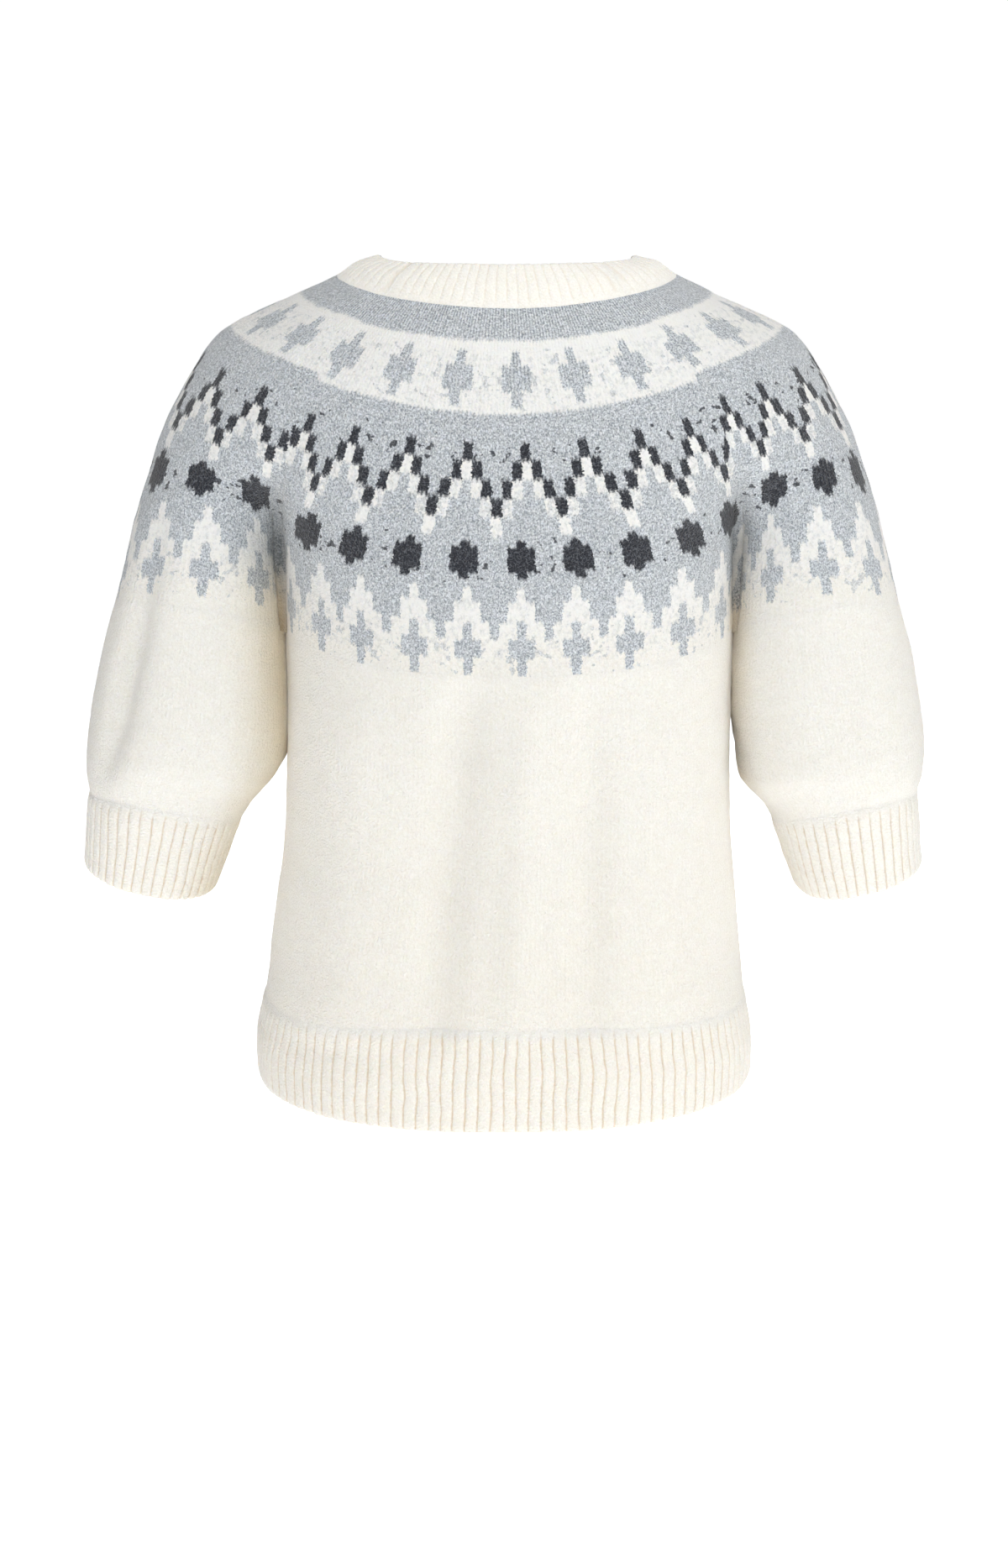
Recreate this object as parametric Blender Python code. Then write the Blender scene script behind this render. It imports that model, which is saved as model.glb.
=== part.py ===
"""Nordic yoke sweater, filled out as worn, with one closed wall of cloth for each knitted piece.

Metres, +Z up. The wearer faces +Y, so the back of the sweater faces -Y. The origin is the middle of the neck
opening, at the height of the shoulders.

Every surface is a function of a station and a level. Stations run once round the ring, from the centre back
towards +X. On the yoke 0 to 1 is the back of the body, 1 to 2 the bottom of the crease at the armpit and 2 to 3
the back of the arm, 3 to 6 is the same from the outside of the arm to the centre front, and 6 to 12 is the other
half. Below the yoke the body has its side seams at 3 and 9, and a sleeve its outside at 3 and its inside at 5.
Levels run down the cloth: -1 neckband edge, 0 neckband seam, 1 lower edge of the yoke, 2 rib seam, 3 rib edge.
"""

import math
from bisect import bisect_right
from functools import lru_cache
from types import SimpleNamespace

import bmesh
import bpy
from mathutils import Vector

NAME = "nordic_yoke_sweater"

# Cloth
WALL = 0.0020
SEAM_GAP = 0.0003
RIB_WALL = 0.0018
RIB_RISE = 0.0011
RIB_PROFILE = ((0.0, 0.0), (0.24, RIB_RISE), (0.76, RIB_RISE))

# Which ends of a piece are linked to a neighbour: its top, its bottom
BOTH_SEAMS = (True, True)
TOP_SEAM = (True, False)
BOTTOM_SEAM = (False, True)

# Ribs all round each edge
NECK_RIBS = 86
HEM_RIBS = 118
CUFF_RIBS = 36

# Where the body and the sleeves part under the arm
BODY_HALF_WIDTH = 0.1515
ARM_INNER_X = 0.1525
UNDERARM_HALF_LENGTH = 0.030
BODY_POWER = 2.5
ARM_POWER = 2.3
DOME_POWER = 2.15
DOME_SLOPE_POWER = 1.6
CREASE_SHARE = 0.52
CREASE_STRIP_SHARE = 0.015

# Mesh fineness: columns for each stretch of a quarter ring, and rows
BODY_ARC_COLUMNS = 12
PANEL_ARC_COLUMNS = 15
ARM_ARC_COLUMNS = 10
UNDERARM_COLUMNS = 3
YOKE_ROWS = 12
PANEL_ROWS = 8
SLEEVE_ROWS = 8
RIB_ROWS = 2
CREASE_CROWDING = 1.3

DOWN = Vector((0.0, 0.0, -1.0))
STEP_ROUND = 0.02
STEP_DOWN = 0.01
LENGTH_SAMPLES = 160
ROUND_SAMPLES = 480
BODY_FOLD_END = 2.25
SLEEVE_FOLD_END = 2.0

CREAM = (0.86, 0.82, 0.74, 1.0)
HEATHER = (0.42, 0.46, 0.52, 1.0)
WOOL_ROUGHNESS = 0.92


class Sections:
    """A short table of sections. at() gives its named sizes on a smooth curve through the rows."""

    def __init__(self, columns, *rows):
        self.columns = columns
        self.rows = rows

    @lru_cache(maxsize=None)
    def at(self, level):
        rows = self.rows
        level = min(max(level, rows[0][0]), rows[-1][0])
        last = len(rows) - 2
        i = next((k for k in range(last) if level < rows[k + 1][0]), last)
        before, low, high, after = rows[max(i - 1, 0)], rows[i], rows[i + 1], rows[min(i + 2, last + 1)]
        span = high[0] - low[0]
        t = (level - low[0]) / span
        sizes = {}
        for name, a, b, c, d in zip(self.columns, before, low, high, after):
            start_slope = span * (c - a) / (high[0] - before[0])
            end_slope = span * (d - b) / (after[0] - low[0])
            sizes[name] = (
                (1 + 2 * t) * (1 - t) ** 2 * b
                + t * (1 - t) ** 2 * start_slope
                + t * t * (3 - 2 * t) * c
                - t * t * (1 - t) * end_slope
            )
        return SimpleNamespace(**sizes)


# The neckband and the yoke. crease says how far the ring has folded in between body and arm.
YOKE = Sections(
    (
        ("level", "outer_x", "outer_z", "back_y", "back_z", "front_y", "front_z")
        + ("inner_x", "inner_z", "middle_y", "half_depth", "rise", "crease")
    ),
    (-1.00, 0.0865, 0.0110, 0.0620, 0.0120, 0.0680, -0.0530, ARM_INNER_X, -0.010, 0.0, 0.040, 0.000, 0.0),
    (-0.50, 0.1010, 0.0062, 0.0738, 0.0004, 0.0790, -0.0640, ARM_INNER_X, -0.015, 0.0, 0.042, 0.000, 0.0),
    (0.000, 0.1125, -0.002, 0.0830, -0.0145, 0.088, -0.0780, ARM_INNER_X, -0.020, 0.0, 0.045, 0.000, 0.0),
    (0.092, 0.1385, -0.014, 0.0940, -0.0340, 0.0985, -0.096, ARM_INNER_X, -0.035, 0.0, 0.047, 0.000, 0.0),
    (0.290, 0.1885, -0.0385, 0.1080, -0.0790, 0.114, -0.140, ARM_INNER_X, -0.070, 0.0, 0.050, 0.004, 0.0),
    (0.370, 0.2065, -0.0600, 0.1120, -0.0965, 0.1185, -0.158, ARM_INNER_X, -0.086, 0.0, 0.052, 0.006, 0.0),
    (0.550, 0.2290, -0.1000, 0.1158, -0.1400, 0.1255, -0.199, ARM_INNER_X, -0.125, 0.0, 0.056, 0.008, 0.06),
    (0.680, 0.2405, -0.1300, 0.1165, -0.1720, 0.129, -0.229, ARM_INNER_X, -0.156, 0.0, 0.060, 0.010, 0.42),
    (0.757, 0.2485, -0.1540, 0.1165, -0.1900, 0.130, -0.246, ARM_INNER_X, -0.175, 0.0, 0.062, 0.012, 0.65),
    (1.000, 0.2655, -0.2170, 0.1150, -0.2490, 0.130, -0.297, ARM_INNER_X, -0.234, 0.0, 0.064, 0.014, 1.0),
)

# The body below the yoke, its rib seam and its rib edge
BODY = Sections(
    ("level", "half_width", "side_z", "back_y", "back_z", "front_y", "front_z"),
    (1.00, BODY_HALF_WIDTH, -0.234, 0.1150, -0.2490, 0.1300, -0.2970),
    (1.30, 0.1505, -0.300, 0.1120, -0.3060, 0.1320, -0.3400),
    (1.60, 0.1527, -0.375, 0.1095, -0.3720, 0.1300, -0.3940),
    (1.85, 0.1607, -0.445, 0.1140, -0.4400, 0.1270, -0.4500),
    (2.00, 0.1670, -0.498, 0.1205, -0.4900, 0.1280, -0.4960),
    (2.50, 0.1722, -0.528, 0.1258, -0.5255, 0.1310, -0.5290),
    (3.00, 0.1718, -0.554, 0.1268, -0.5600, 0.1315, -0.5610),
)

# A sleeve on the +X side, each ring given by its outer and its inner point. rise lifts its front and back
# above the corners at the ends of the underarm seam.
SLEEVE = Sections(
    ("level", "outer_x", "outer_z", "inner_x", "inner_z", "middle_y", "half_depth", "rise"),
    (1.00, 0.2655, -0.2170, ARM_INNER_X, -0.234, 0.000, 0.0640, 0.014),
    (1.25, 0.2755, -0.2530, 0.1532, -0.2710, 0.002, 0.0670, 0.010),
    (1.50, 0.2835, -0.2910, 0.1542, -0.3090, 0.004, 0.0690, 0.008),
    (1.75, 0.2885, -0.3240, 0.1590, -0.3440, 0.007, 0.0680, 0.008),
    (1.90, 0.2893, -0.3420, 0.1725, -0.3655, 0.009, 0.0635, 0.008),
    (2.00, 0.2864, -0.3530, 0.1827, -0.3800, 0.011, 0.0570, 0.008),
    (2.50, 0.2888, -0.3860, 0.1912, -0.4060, 0.015, 0.0520, 0.002),
    (3.00, 0.2915, -0.4120, 0.2006, -0.4310, 0.018, 0.0480, -0.004),
)

# It hangs a little to one side. Each row gives a sideways shift and the drop below the origin where it starts,
# is whole and ends. It fades out towards the outsides of the sleeves.
LEANS = ((0.003, 0.05, 0.28, 0.46), (-0.003, 0.40, 0.56, 0.72))
LEAN_HALF_WIDTH = 0.28

# Soft upright folds of the body: troughs above zero, ridges below. lean is the way they drift on going down.
BODY_FOLDS = (
    # face, x, lean, depth, half_width, top, deepest
    ("back", -0.120, -0.010, 0.0040, 0.016, 1.25, 1.80),
    ("back", -0.082, -0.006, -0.0025, 0.018, 1.15, 1.75),
    ("back", -0.037, -0.010, 0.0065, 0.015, 1.00, 1.60),
    ("back", 0.008, -0.004, -0.0030, 0.018, 1.10, 1.70),
    ("back", 0.052, 0.004, 0.0048, 0.014, 1.05, 1.55),
    ("back", 0.118, 0.008, 0.0025, 0.016, 1.30, 1.80),
    ("front", -0.098, -0.008, 0.0050, 0.017, 1.20, 1.75),
    ("front", -0.030, -0.004, 0.0042, 0.016, 1.10, 1.65),
    ("front", 0.046, 0.006, 0.0058, 0.015, 1.15, 1.70),
    ("front", 0.108, 0.008, 0.0035, 0.016, 1.25, 1.75),
)

# Soft folds down the sleeves, placed by their angle from the back of the arm towards its outside
SLEEVE_FOLDS = (
    # side, angle, depth, half_width, top, deepest
    (-1, 0.60, 0.0042, 0.22, 0.70, 1.45),
    (-1, 2.60, 0.0035, 0.26, 0.90, 1.60),
    (1, 0.15, 0.0028, 0.26, 0.90, 1.60),
    (1, 2.30, 0.0040, 0.24, 0.80, 1.50),
)


def swell(level, top, deepest, end):
    """How full a fold is at a level: none at its top and its end, whole where it is deepest."""
    if not top < level < end:
        return 0.0
    t = (level - top) / (deepest - top) if level < deepest else (end - level) / (end - deepest)
    return t * t * (3 - 2 * t)


def leaned(point):
    fade = max(1 - (point.x / LEAN_HALF_WIDTH) ** 2, 0.0)
    point.x += fade * sum(shift * swell(-point.z, *drops) for shift, *drops in LEANS)
    return point


def oval(angle, half_width, half_depth, power):
    """A point of a squared oval, from angle 0 at the back (-Y) towards the side (+X)."""
    sine, cosine = math.sin(angle), math.cos(angle)
    x = half_width * math.copysign(abs(sine) ** (2 / power), sine)
    y = -half_depth * math.copysign(abs(cosine) ** (2 / power), cosine)
    return x, y


@lru_cache(maxsize=None)
def oval_lengths(half_width, half_depth, power, first, last):
    """Lengths from the first angle to each of the sample angles of an oval."""
    step = (last - first) / LENGTH_SAMPLES
    points = [oval(first + step * i, half_width, half_depth, power) for i in range(LENGTH_SAMPLES + 1)]
    lengths = [0.0]
    for a, b in zip(points, points[1:]):
        lengths.append(lengths[-1] + math.dist(a, b))
    return lengths


def angle_at(share, half_width, half_depth, power, first, last):
    """The angle that lies at a share of an oval's length between two angles."""
    lengths = oval_lengths(half_width, half_depth, power, first, last)
    wanted = share * lengths[-1]
    i = min(max(bisect_right(lengths, wanted) - 1, 0), LENGTH_SAMPLES - 1)
    part = (wanted - lengths[i]) / (lengths[i + 1] - lengths[i])
    return first + (last - first) * (i + part) / LENGTH_SAMPLES


def turn_to_underarm(half_depth, power):
    """The angle from the back at which an oval reaches the end of the underarm seam."""
    return math.acos((UNDERARM_HALF_LENGTH / half_depth) ** (power / 2))


def quarter(station):
    """The side a station lies on, whether it is at the front, and its place from the centre, 0, to 3."""
    station %= 12
    side = 1 if station <= 6 else -1
    station = min(station, 12 - station)
    return side, station > 3, min(station, 6 - station)


def body_angle(place, front):
    """Angle round the body's oval for a place from 0, the centre, to 3, the side seam."""
    edge = YOKE.at(1.0)
    depth = edge.front_y if front else edge.back_y
    turn = turn_to_underarm(depth, BODY_POWER)
    if place <= 1:
        angle = angle_at(place, BODY_HALF_WIDTH, depth, BODY_POWER, 0.0, turn)
    else:
        angle = turn + (math.pi / 2 - turn) * (place - 1) / 2
    return math.pi - angle if front else angle


def arm_angle(place, front):
    """Angle round the arm's oval for a place from 2, the underarm, to 3, the outside of the arm."""
    edge = SLEEVE.at(1.0)
    half_width = (edge.outer_x - edge.inner_x) / 2
    turn = turn_to_underarm(edge.half_depth, ARM_POWER)
    angle = angle_at(place - 2, half_width, edge.half_depth, ARM_POWER, -turn, math.pi / 2)
    return math.pi - angle if front else angle


def arm_ring(ring, angle, level, side):
    """A point of an arm's ring on the +X side, which its outer and inner points tilt and its folds dent."""
    across, deep = oval(angle, 1.0, 1.0, ARM_POWER)
    half_width = (ring.outer_x - ring.inner_x) / 2
    dent = 0.0
    for fold_side, fold_angle, depth, fold_width, top, deepest in SLEEVE_FOLDS:
        if fold_side == side:
            away = math.remainder(angle - fold_angle, 2 * math.pi) / fold_width
            dent += depth * math.exp(-away * away) * swell(level, top, deepest, SLEEVE_FOLD_END)
    shrink = 1 - dent / half_width
    x = (ring.outer_x + ring.inner_x) / 2 + half_width * across * shrink
    y = ring.middle_y + ring.half_depth * deep * shrink
    z = (ring.outer_z + ring.inner_z) / 2 + (ring.outer_z - ring.inner_z) / 2 * across
    corner = UNDERARM_HALF_LENGTH / ring.half_depth
    return Vector((x, y, z + ring.rise * (deep * deep - corner * corner)))


def dome_point(place, row, front):
    """The yoke's smooth dome, as it would be with no crease at the armpit."""
    depth, end_z = (row.front_y, row.front_z) if front else (row.back_y, row.back_z)
    share = CREASE_SHARE * min(place, 1) + CREASE_STRIP_SHARE * min(max(place - 1, 0), 1)
    share += (1 - CREASE_SHARE - CREASE_STRIP_SHARE) * max(place - 2, 0)
    angle = angle_at(share, row.outer_x, depth, DOME_POWER, 0.0, math.pi / 2)
    x, y = oval(math.pi - angle if front else angle, row.outer_x, depth, DOME_POWER)
    slope = max(math.cos(math.pi / 2 * share), 0.0) ** DOME_SLOPE_POWER
    return Vector((x, y, row.outer_z + (end_z - row.outer_z) * slope))


def folded_point(place, row, front, level, side):
    """The yoke folded in all the way at the armpit: the body's oval beside the arm's."""
    if 1 < place < 2:
        start = folded_point(1.0, row, front, level, side)
        return start.lerp(folded_point(2.0, row, front, level, side), place - 1)
    if place <= 1:
        depth, end_z = (row.front_y, row.front_z) if front else (row.back_y, row.back_z)
        angle = body_angle(place, front)
        x, y = oval(angle, BODY_HALF_WIDTH, depth, BODY_POWER)
        return Vector((x, y, row.inner_z + (end_z - row.inner_z) * math.cos(angle) ** 2))
    return arm_ring(row, arm_angle(place, front), level, side)


def yoke_point(station, level):
    """A point of the neckband or the yoke."""
    side, front, place = quarter(station)
    row = YOKE.at(level)
    point = dome_point(place, row, front)
    if row.crease > 0:
        point = point.lerp(folded_point(place, row, front, level, side), row.crease)
    point.x *= side
    return leaned(point)


def body_point(station, level):
    """A point of the body. Above its top edge it goes on into the yoke, apart from the underarms."""
    side, front, place = quarter(station)
    if level < 1 and place <= 1:
        return yoke_point(station, level)
    row = BODY.at(level)
    depth, end_z = (row.front_y, row.front_z) if front else (row.back_y, row.back_z)
    angle = body_angle(place, front)
    x, y = oval(angle, row.half_width, depth, BODY_POWER)
    x *= side
    for face, middle_x, lean, fold_depth, fold_width, top, deepest in BODY_FOLDS:
        if (face == "front") == front:
            away = (x - middle_x - lean * (level - 1)) / fold_width
            inward = -1 if front else 1
            y += inward * fold_depth * math.exp(-away * away) * swell(level, top, deepest, BODY_FOLD_END)
    return leaned(Vector((x, y, row.side_z + (end_z - row.side_z) * math.cos(angle) ** 2)))


def sleeve_point(side):
    """The surface of the sleeve on one side. Above its top edge it goes on into the yoke."""

    def point(station, level):
        station = 2 + (station - 2) % 4
        if level < 1 and station <= 4:
            return yoke_point(station if side > 0 else 12 - station, level)
        ring = SLEEVE.at(level)
        if station <= 4:
            angle = arm_angle(min(station, 6 - station), station > 3)
        else:
            turn = turn_to_underarm(SLEEVE.at(1.0).half_depth, ARM_POWER)
            angle = math.pi + turn + (math.pi - 2 * turn) * (station - 4) / 2
        found = arm_ring(ring, angle, level, side)
        found.x *= side
        return leaned(found)

    return point


def outward(point, down, station, level, hand=1):
    """Unit vector out of a surface. hand is -1 where its stations run the other way round."""
    along = point(station + STEP_ROUND, level) - point(station - STEP_ROUND, level)
    return hand * down.cross(along).normalized()


def body_outward(station, level):
    return outward(body_point, DOWN, station, level)


def sleeve_outward(side):
    """Outward within the plane of each of the arm's tilted rings."""

    def found(station, level):
        ring = SLEEVE.at(level)
        down = Vector((side * (ring.outer_z - ring.inner_z), 0.0, ring.inner_x - ring.outer_x))
        return outward(sleeve_point(side), down, station, level, side)

    return found


def yoke_outward(station, level):
    """At the yoke's lower edge this is the same as on the body or the sleeve that is linked on."""
    if level < 1:
        down = yoke_point(station, level + STEP_DOWN) - yoke_point(station, level - STEP_DOWN)
        return outward(yoke_point, down, station, level)
    side, _, place = quarter(station)
    if place < 2:
        return body_outward(station, level)
    return sleeve_outward(side)(station if side > 0 else 12 - station, level)


YOKE_SURFACE = SimpleNamespace(point=yoke_point, outward=yoke_outward)
BODY_SURFACE = SimpleNamespace(point=body_point, outward=body_outward)


def crowded(first, last, count, towards_last):
    """Stations between two stations, closer together towards one of them."""
    steps = [i / count for i in range(count + 1)]
    if towards_last:
        shares = [1 - (1 - t) ** CREASE_CROWDING for t in steps]
    else:
        shares = [t**CREASE_CROWDING for t in steps]
    return [first + (last - first) * share for share in shares]


def even_stations(surface, level, first, last, count):
    """Stations at equal lengths along one ring of a surface."""
    samples = [first + (last - first) * i / ROUND_SAMPLES for i in range(ROUND_SAMPLES + 1)]
    points = [surface.point(station, level) for station in samples]
    lengths = [0.0]
    for a, b in zip(points, points[1:]):
        lengths.append(lengths[-1] + (b - a).length)
    found = []
    for k in range(count + 1):
        wanted = lengths[-1] * k / count
        i = min(max(bisect_right(lengths, wanted) - 1, 0), ROUND_SAMPLES - 1)
        part = (wanted - lengths[i]) / (lengths[i + 1] - lengths[i])
        found.append(samples[i] + (samples[i + 1] - samples[i]) * part)
    return found


def ribbed(stations):
    """Each rib's valley and two ridge stations with how far each is raised, and the last valley."""
    columns = []
    for start, end in zip(stations, stations[1:]):
        columns += [(start + (end - start) * share, rise) for share, rise in RIB_PROFILE]
    return columns + [(stations[-1], 0.0)]


def cloth(name, surface, columns, levels, material, closed, seams):
    """A closed wall of cloth over a grid of columns (station, rise) and levels, with a plain inside."""
    is_rib = any(rise for _, rise in columns)
    wall = RIB_WALL if is_rib else WALL
    inner_step = len(RIB_PROFILE) if is_rib else 1
    outer, inner = [], []
    for level in levels:
        bases = [surface.point(station, level) for station, _ in columns]
        normals = [surface.outward(station, level) for station, _ in columns]
        outer.append([base + n * rise for base, n, (_, rise) in zip(bases, normals, columns)])
        inner.append([base - n * wall for base, n in zip(bases, normals)][::inner_step])
    for grid in (outer, inner):
        ends = [(0, 1)] * seams[0] + [(-1, -2)] * seams[1]
        for near, far in ends:
            grid[near] = [p + (q - p).normalized() * SEAM_GAP / 2 for p, q in zip(grid[near], grid[far])]
        if not closed:
            for row in grid:
                row[0] = row[0] + (row[1] - row[0]).normalized() * SEAM_GAP / 2
                row[-1] = row[-1] + (row[-2] - row[-1]).normalized() * SEAM_GAP / 2
    mesh = bmesh.new()
    faces = [[[mesh.verts.new(point) for point in row] for row in grid] for grid in (outer, inner)]
    for grid in faces:
        for row in grid:
            if closed:
                row.append(row[0])
    outside, inside = faces
    for upper, lower in zip(outside, outside[1:]):
        for i in range(len(upper) - 1):
            mesh.faces.new((upper[i], lower[i], lower[i + 1], upper[i + 1]))
    for upper, lower in zip(inside, inside[1:]):
        for i in range(len(upper) - 1):
            mesh.faces.new((upper[i + 1], lower[i + 1], lower[i], upper[i]))
    for outer_row, inner_row in ((outside[0], inside[0]), (outside[-1], inside[-1])):
        for i in range(len(inner_row) - 1):
            rim = outer_row[i * inner_step : (i + 1) * inner_step + 1]
            mesh.faces.new([*rim, inner_row[i + 1], inner_row[i]])
    if not closed:
        for i in (0, -1):
            for k in range(len(levels) - 1):
                mesh.faces.new((outside[k][i], outside[k + 1][i], inside[k + 1][i], inside[k][i]))
    bmesh.ops.recalc_face_normals(mesh, faces=mesh.faces)
    data = bpy.data.meshes.new(name)
    mesh.to_mesh(data)
    mesh.free()
    data.materials.append(material)
    data.shade_smooth()
    piece = bpy.data.objects.new(name, data)
    bpy.data.collections[NAME].objects.link(piece)
    return piece


def wool(name, colour):
    material = bpy.data.materials.new(name)
    material.use_nodes = True
    shader = material.node_tree.nodes["Principled BSDF"]
    shader.inputs["Base Color"].default_value = colour
    shader.inputs["Roughness"].default_value = WOOL_ROUGHNESS
    shader.inputs["Metallic"].default_value = 0.0
    return material


def levels_between(first, last, rows):
    return [first + (last - first) * i / rows for i in range(rows + 1)]


def plain(stations):
    return [(station, 0.0) for station in stations]


def mirrored(half, middle, far):
    """Stations of one half, then of the other half, about the station in the middle."""
    return half[:-1] + [middle] + [far - station for station in reversed(half[:-1])]


def make_neckband(material):
    stations = even_stations(YOKE_SURFACE, -0.5, 0.0, 12.0, NECK_RIBS)
    levels = levels_between(-1.0, 0.0, RIB_ROWS)
    cloth("neckband", YOKE_SURFACE, ribbed(stations)[:-1], levels, material, True, BOTTOM_SEAM)


def make_yoke(material):
    body_arc = crowded(0.0, 1.0, BODY_ARC_COLUMNS, True)
    arm_arc = crowded(2.0, 3.0, ARM_ARC_COLUMNS, False)
    half = mirrored(body_arc + arm_arc, 3.0, 6.0)
    stations = mirrored(half, 6.0, 12.0)[:-1]
    levels = levels_between(0.0, 1.0, YOKE_ROWS)
    cloth("yoke", YOKE_SURFACE, plain(stations), levels, material, True, BOTH_SEAMS)


def make_body(material):
    """Back and front panels, split at the side seams, each with its rib below it."""
    arc = crowded(0.0, 1.0, PANEL_ARC_COLUMNS, True)
    underarm = [1 + 2 * i / UNDERARM_COLUMNS for i in range(1, UNDERARM_COLUMNS + 1)]
    right = arc + underarm
    across = [-station for station in reversed(right[1:])] + right
    levels = levels_between(1.0, 2.0, PANEL_ROWS)
    rib_levels = levels_between(2.0, 3.0, RIB_ROWS)
    for face, centre in (("back", 0.0), ("front", 6.0)):
        columns = plain([centre + station for station in across])
        cloth(f"{face}_panel", BODY_SURFACE, columns, levels, material, False, BOTH_SEAMS)
        stations = even_stations(BODY_SURFACE, 2.5, centre - 3.0, centre + 3.0, HEM_RIBS // 2)
        cloth(f"{face}_hem_rib", BODY_SURFACE, ribbed(stations), rib_levels, material, False, TOP_SEAM)


def make_sleeves(material):
    """A sleeve and its cuff on each side."""
    arc = crowded(2.0, 3.0, ARM_ARC_COLUMNS, False)
    underarm = [4 + i / UNDERARM_COLUMNS for i in range(1, 2 * UNDERARM_COLUMNS)]
    stations = mirrored(arc, 3.0, 6.0) + underarm
    levels = levels_between(1.0, 2.0, SLEEVE_ROWS)
    rib_levels = levels_between(2.0, 3.0, RIB_ROWS)
    for side, word in ((-1, "left"), (1, "right")):
        surface = SimpleNamespace(point=sleeve_point(side), outward=sleeve_outward(side))
        cloth(f"{word}_sleeve", surface, plain(stations), levels, material, True, BOTH_SEAMS)
        ribs = ribbed(even_stations(surface, 2.5, 2.0, 6.0, CUFF_RIBS))[:-1]
        cloth(f"{word}_cuff", surface, ribs, rib_levels, material, True, TOP_SEAM)


def main():
    for old in list(bpy.data.objects):
        bpy.data.objects.remove(old)
    bpy.context.scene.collection.children.link(bpy.data.collections.new(NAME))
    cream = wool("cream_wool", CREAM)
    make_neckband(cream)
    make_yoke(wool("heather_wool", HEATHER))
    make_body(cream)
    make_sleeves(cream)


main()
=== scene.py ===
"""Nordic yoke sweater in brushed wool knit, filled out as it is worn. Metres, +Z up, its back towards -Y.

Every surface is a function of stations and a level, as in the sweater's solids. Stations run round the ring
from the centre back towards +X: on the yoke 0 to 1 is the back of the body, 1 to 2 the bottom of the armpit
crease, 2 to 3 the back of the arm, 3 to 6 the same from the outside of the arm to the centre front, and -6 to
0 the other side. Below the yoke the body has its side seams at 3 and -3, and a sleeve its outside at 3 and
its inside at 5. A station's place is how far it lies from the centre back or front, from 0 to 3. Levels run
down the cloth: -1 neckband edge, 0 neckband seam, 1 lower edge of the yoke, 2 rib seam, 3 rib edge.
"""

import math
from functools import lru_cache
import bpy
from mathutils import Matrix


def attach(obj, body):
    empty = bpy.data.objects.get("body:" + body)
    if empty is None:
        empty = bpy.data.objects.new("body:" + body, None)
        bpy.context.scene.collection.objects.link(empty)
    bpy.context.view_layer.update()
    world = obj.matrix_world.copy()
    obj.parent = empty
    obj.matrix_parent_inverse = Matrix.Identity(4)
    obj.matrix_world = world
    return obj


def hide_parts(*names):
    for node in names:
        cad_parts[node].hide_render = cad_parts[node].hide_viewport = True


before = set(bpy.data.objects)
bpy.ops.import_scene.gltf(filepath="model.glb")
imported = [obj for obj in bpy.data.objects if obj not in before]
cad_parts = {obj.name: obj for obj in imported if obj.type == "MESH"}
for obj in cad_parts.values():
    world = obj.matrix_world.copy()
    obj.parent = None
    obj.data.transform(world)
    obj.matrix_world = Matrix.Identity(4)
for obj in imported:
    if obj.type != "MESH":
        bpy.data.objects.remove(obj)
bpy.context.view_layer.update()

from types import SimpleNamespace

import bpy
import numpy as np
from bpy.props import FloatProperty, FloatVectorProperty, IntProperty, PointerProperty
from mathutils import Vector, noise

bl_info = {
    "name": "Nordic Yoke Sweater",
    "version": (1, 0, 0),
    "blender": (4, 5, 0),
    "location": "3D View > Sidebar > Sweater",
    "description": "Knits a filled-out yoke sweater over its packed solids",
    "category": "Add Mesh",
}

BODY = "root"

# ---------------------------------------------------------------- the form, as in the solids

BODY_HALF_WIDTH = 0.1515
ARM_INNER_X = 0.1525
UNDERARM_HALF_LENGTH = 0.030
# How squared the ovals of the body, of an arm and of the dome of the yoke are, from 2 for a plain one
BODY_POWER = 2.5
ARM_POWER = 2.3
DOME_POWER = 2.15
DOME_SLOPE_POWER = 1.6
# The shares of a quarter of the yoke's ring that lie over the body and across the bottom of the crease
CREASE_SHARE = 0.52
CREASE_STRIP_SHARE = 0.015
LENGTH_SAMPLES = 400
BODY_FOLD_END = 2.25
SLEEVE_FOLD_END = 2.0
FOLD_FADE = 0.5


def eased(t):
    """A smooth rise from 0 to 1, for shares from 0 to 1."""
    return t * t * (3 - 2 * t)


def running(steps):
    """The length up to the start and up to the end of each step."""
    return np.concatenate([[0], np.cumsum(steps)])


class Sections:
    """A short table of sections. at() gives its named sizes on a smooth curve through the rows."""

    def __init__(self, columns, *rows):
        self.columns = columns
        self.rows = np.array(rows)

    @lru_cache(maxsize=None)
    def at(self, level):
        rows = self.rows
        level = min(max(level, rows[0, 0]), rows[-1, 0])
        last = len(rows) - 2
        i = min(int(np.searchsorted(rows[1:-1, 0], level, side="right")), last)
        before, low, high, after = rows[max(i - 1, 0)], rows[i], rows[i + 1], rows[min(i + 2, last + 1)]
        span = high[0] - low[0]
        t = (level - low[0]) / span
        start_slope = span * (high - before) / (high[0] - before[0])
        end_slope = span * (after - low) / (after[0] - low[0])
        sizes = (1 + 2 * t) * (1 - t) ** 2 * low + t * (1 - t) ** 2 * start_slope
        sizes += eased(t) * high - t * t * (1 - t) * end_slope
        return SimpleNamespace(**dict(zip(self.columns, sizes.tolist())))


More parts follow.
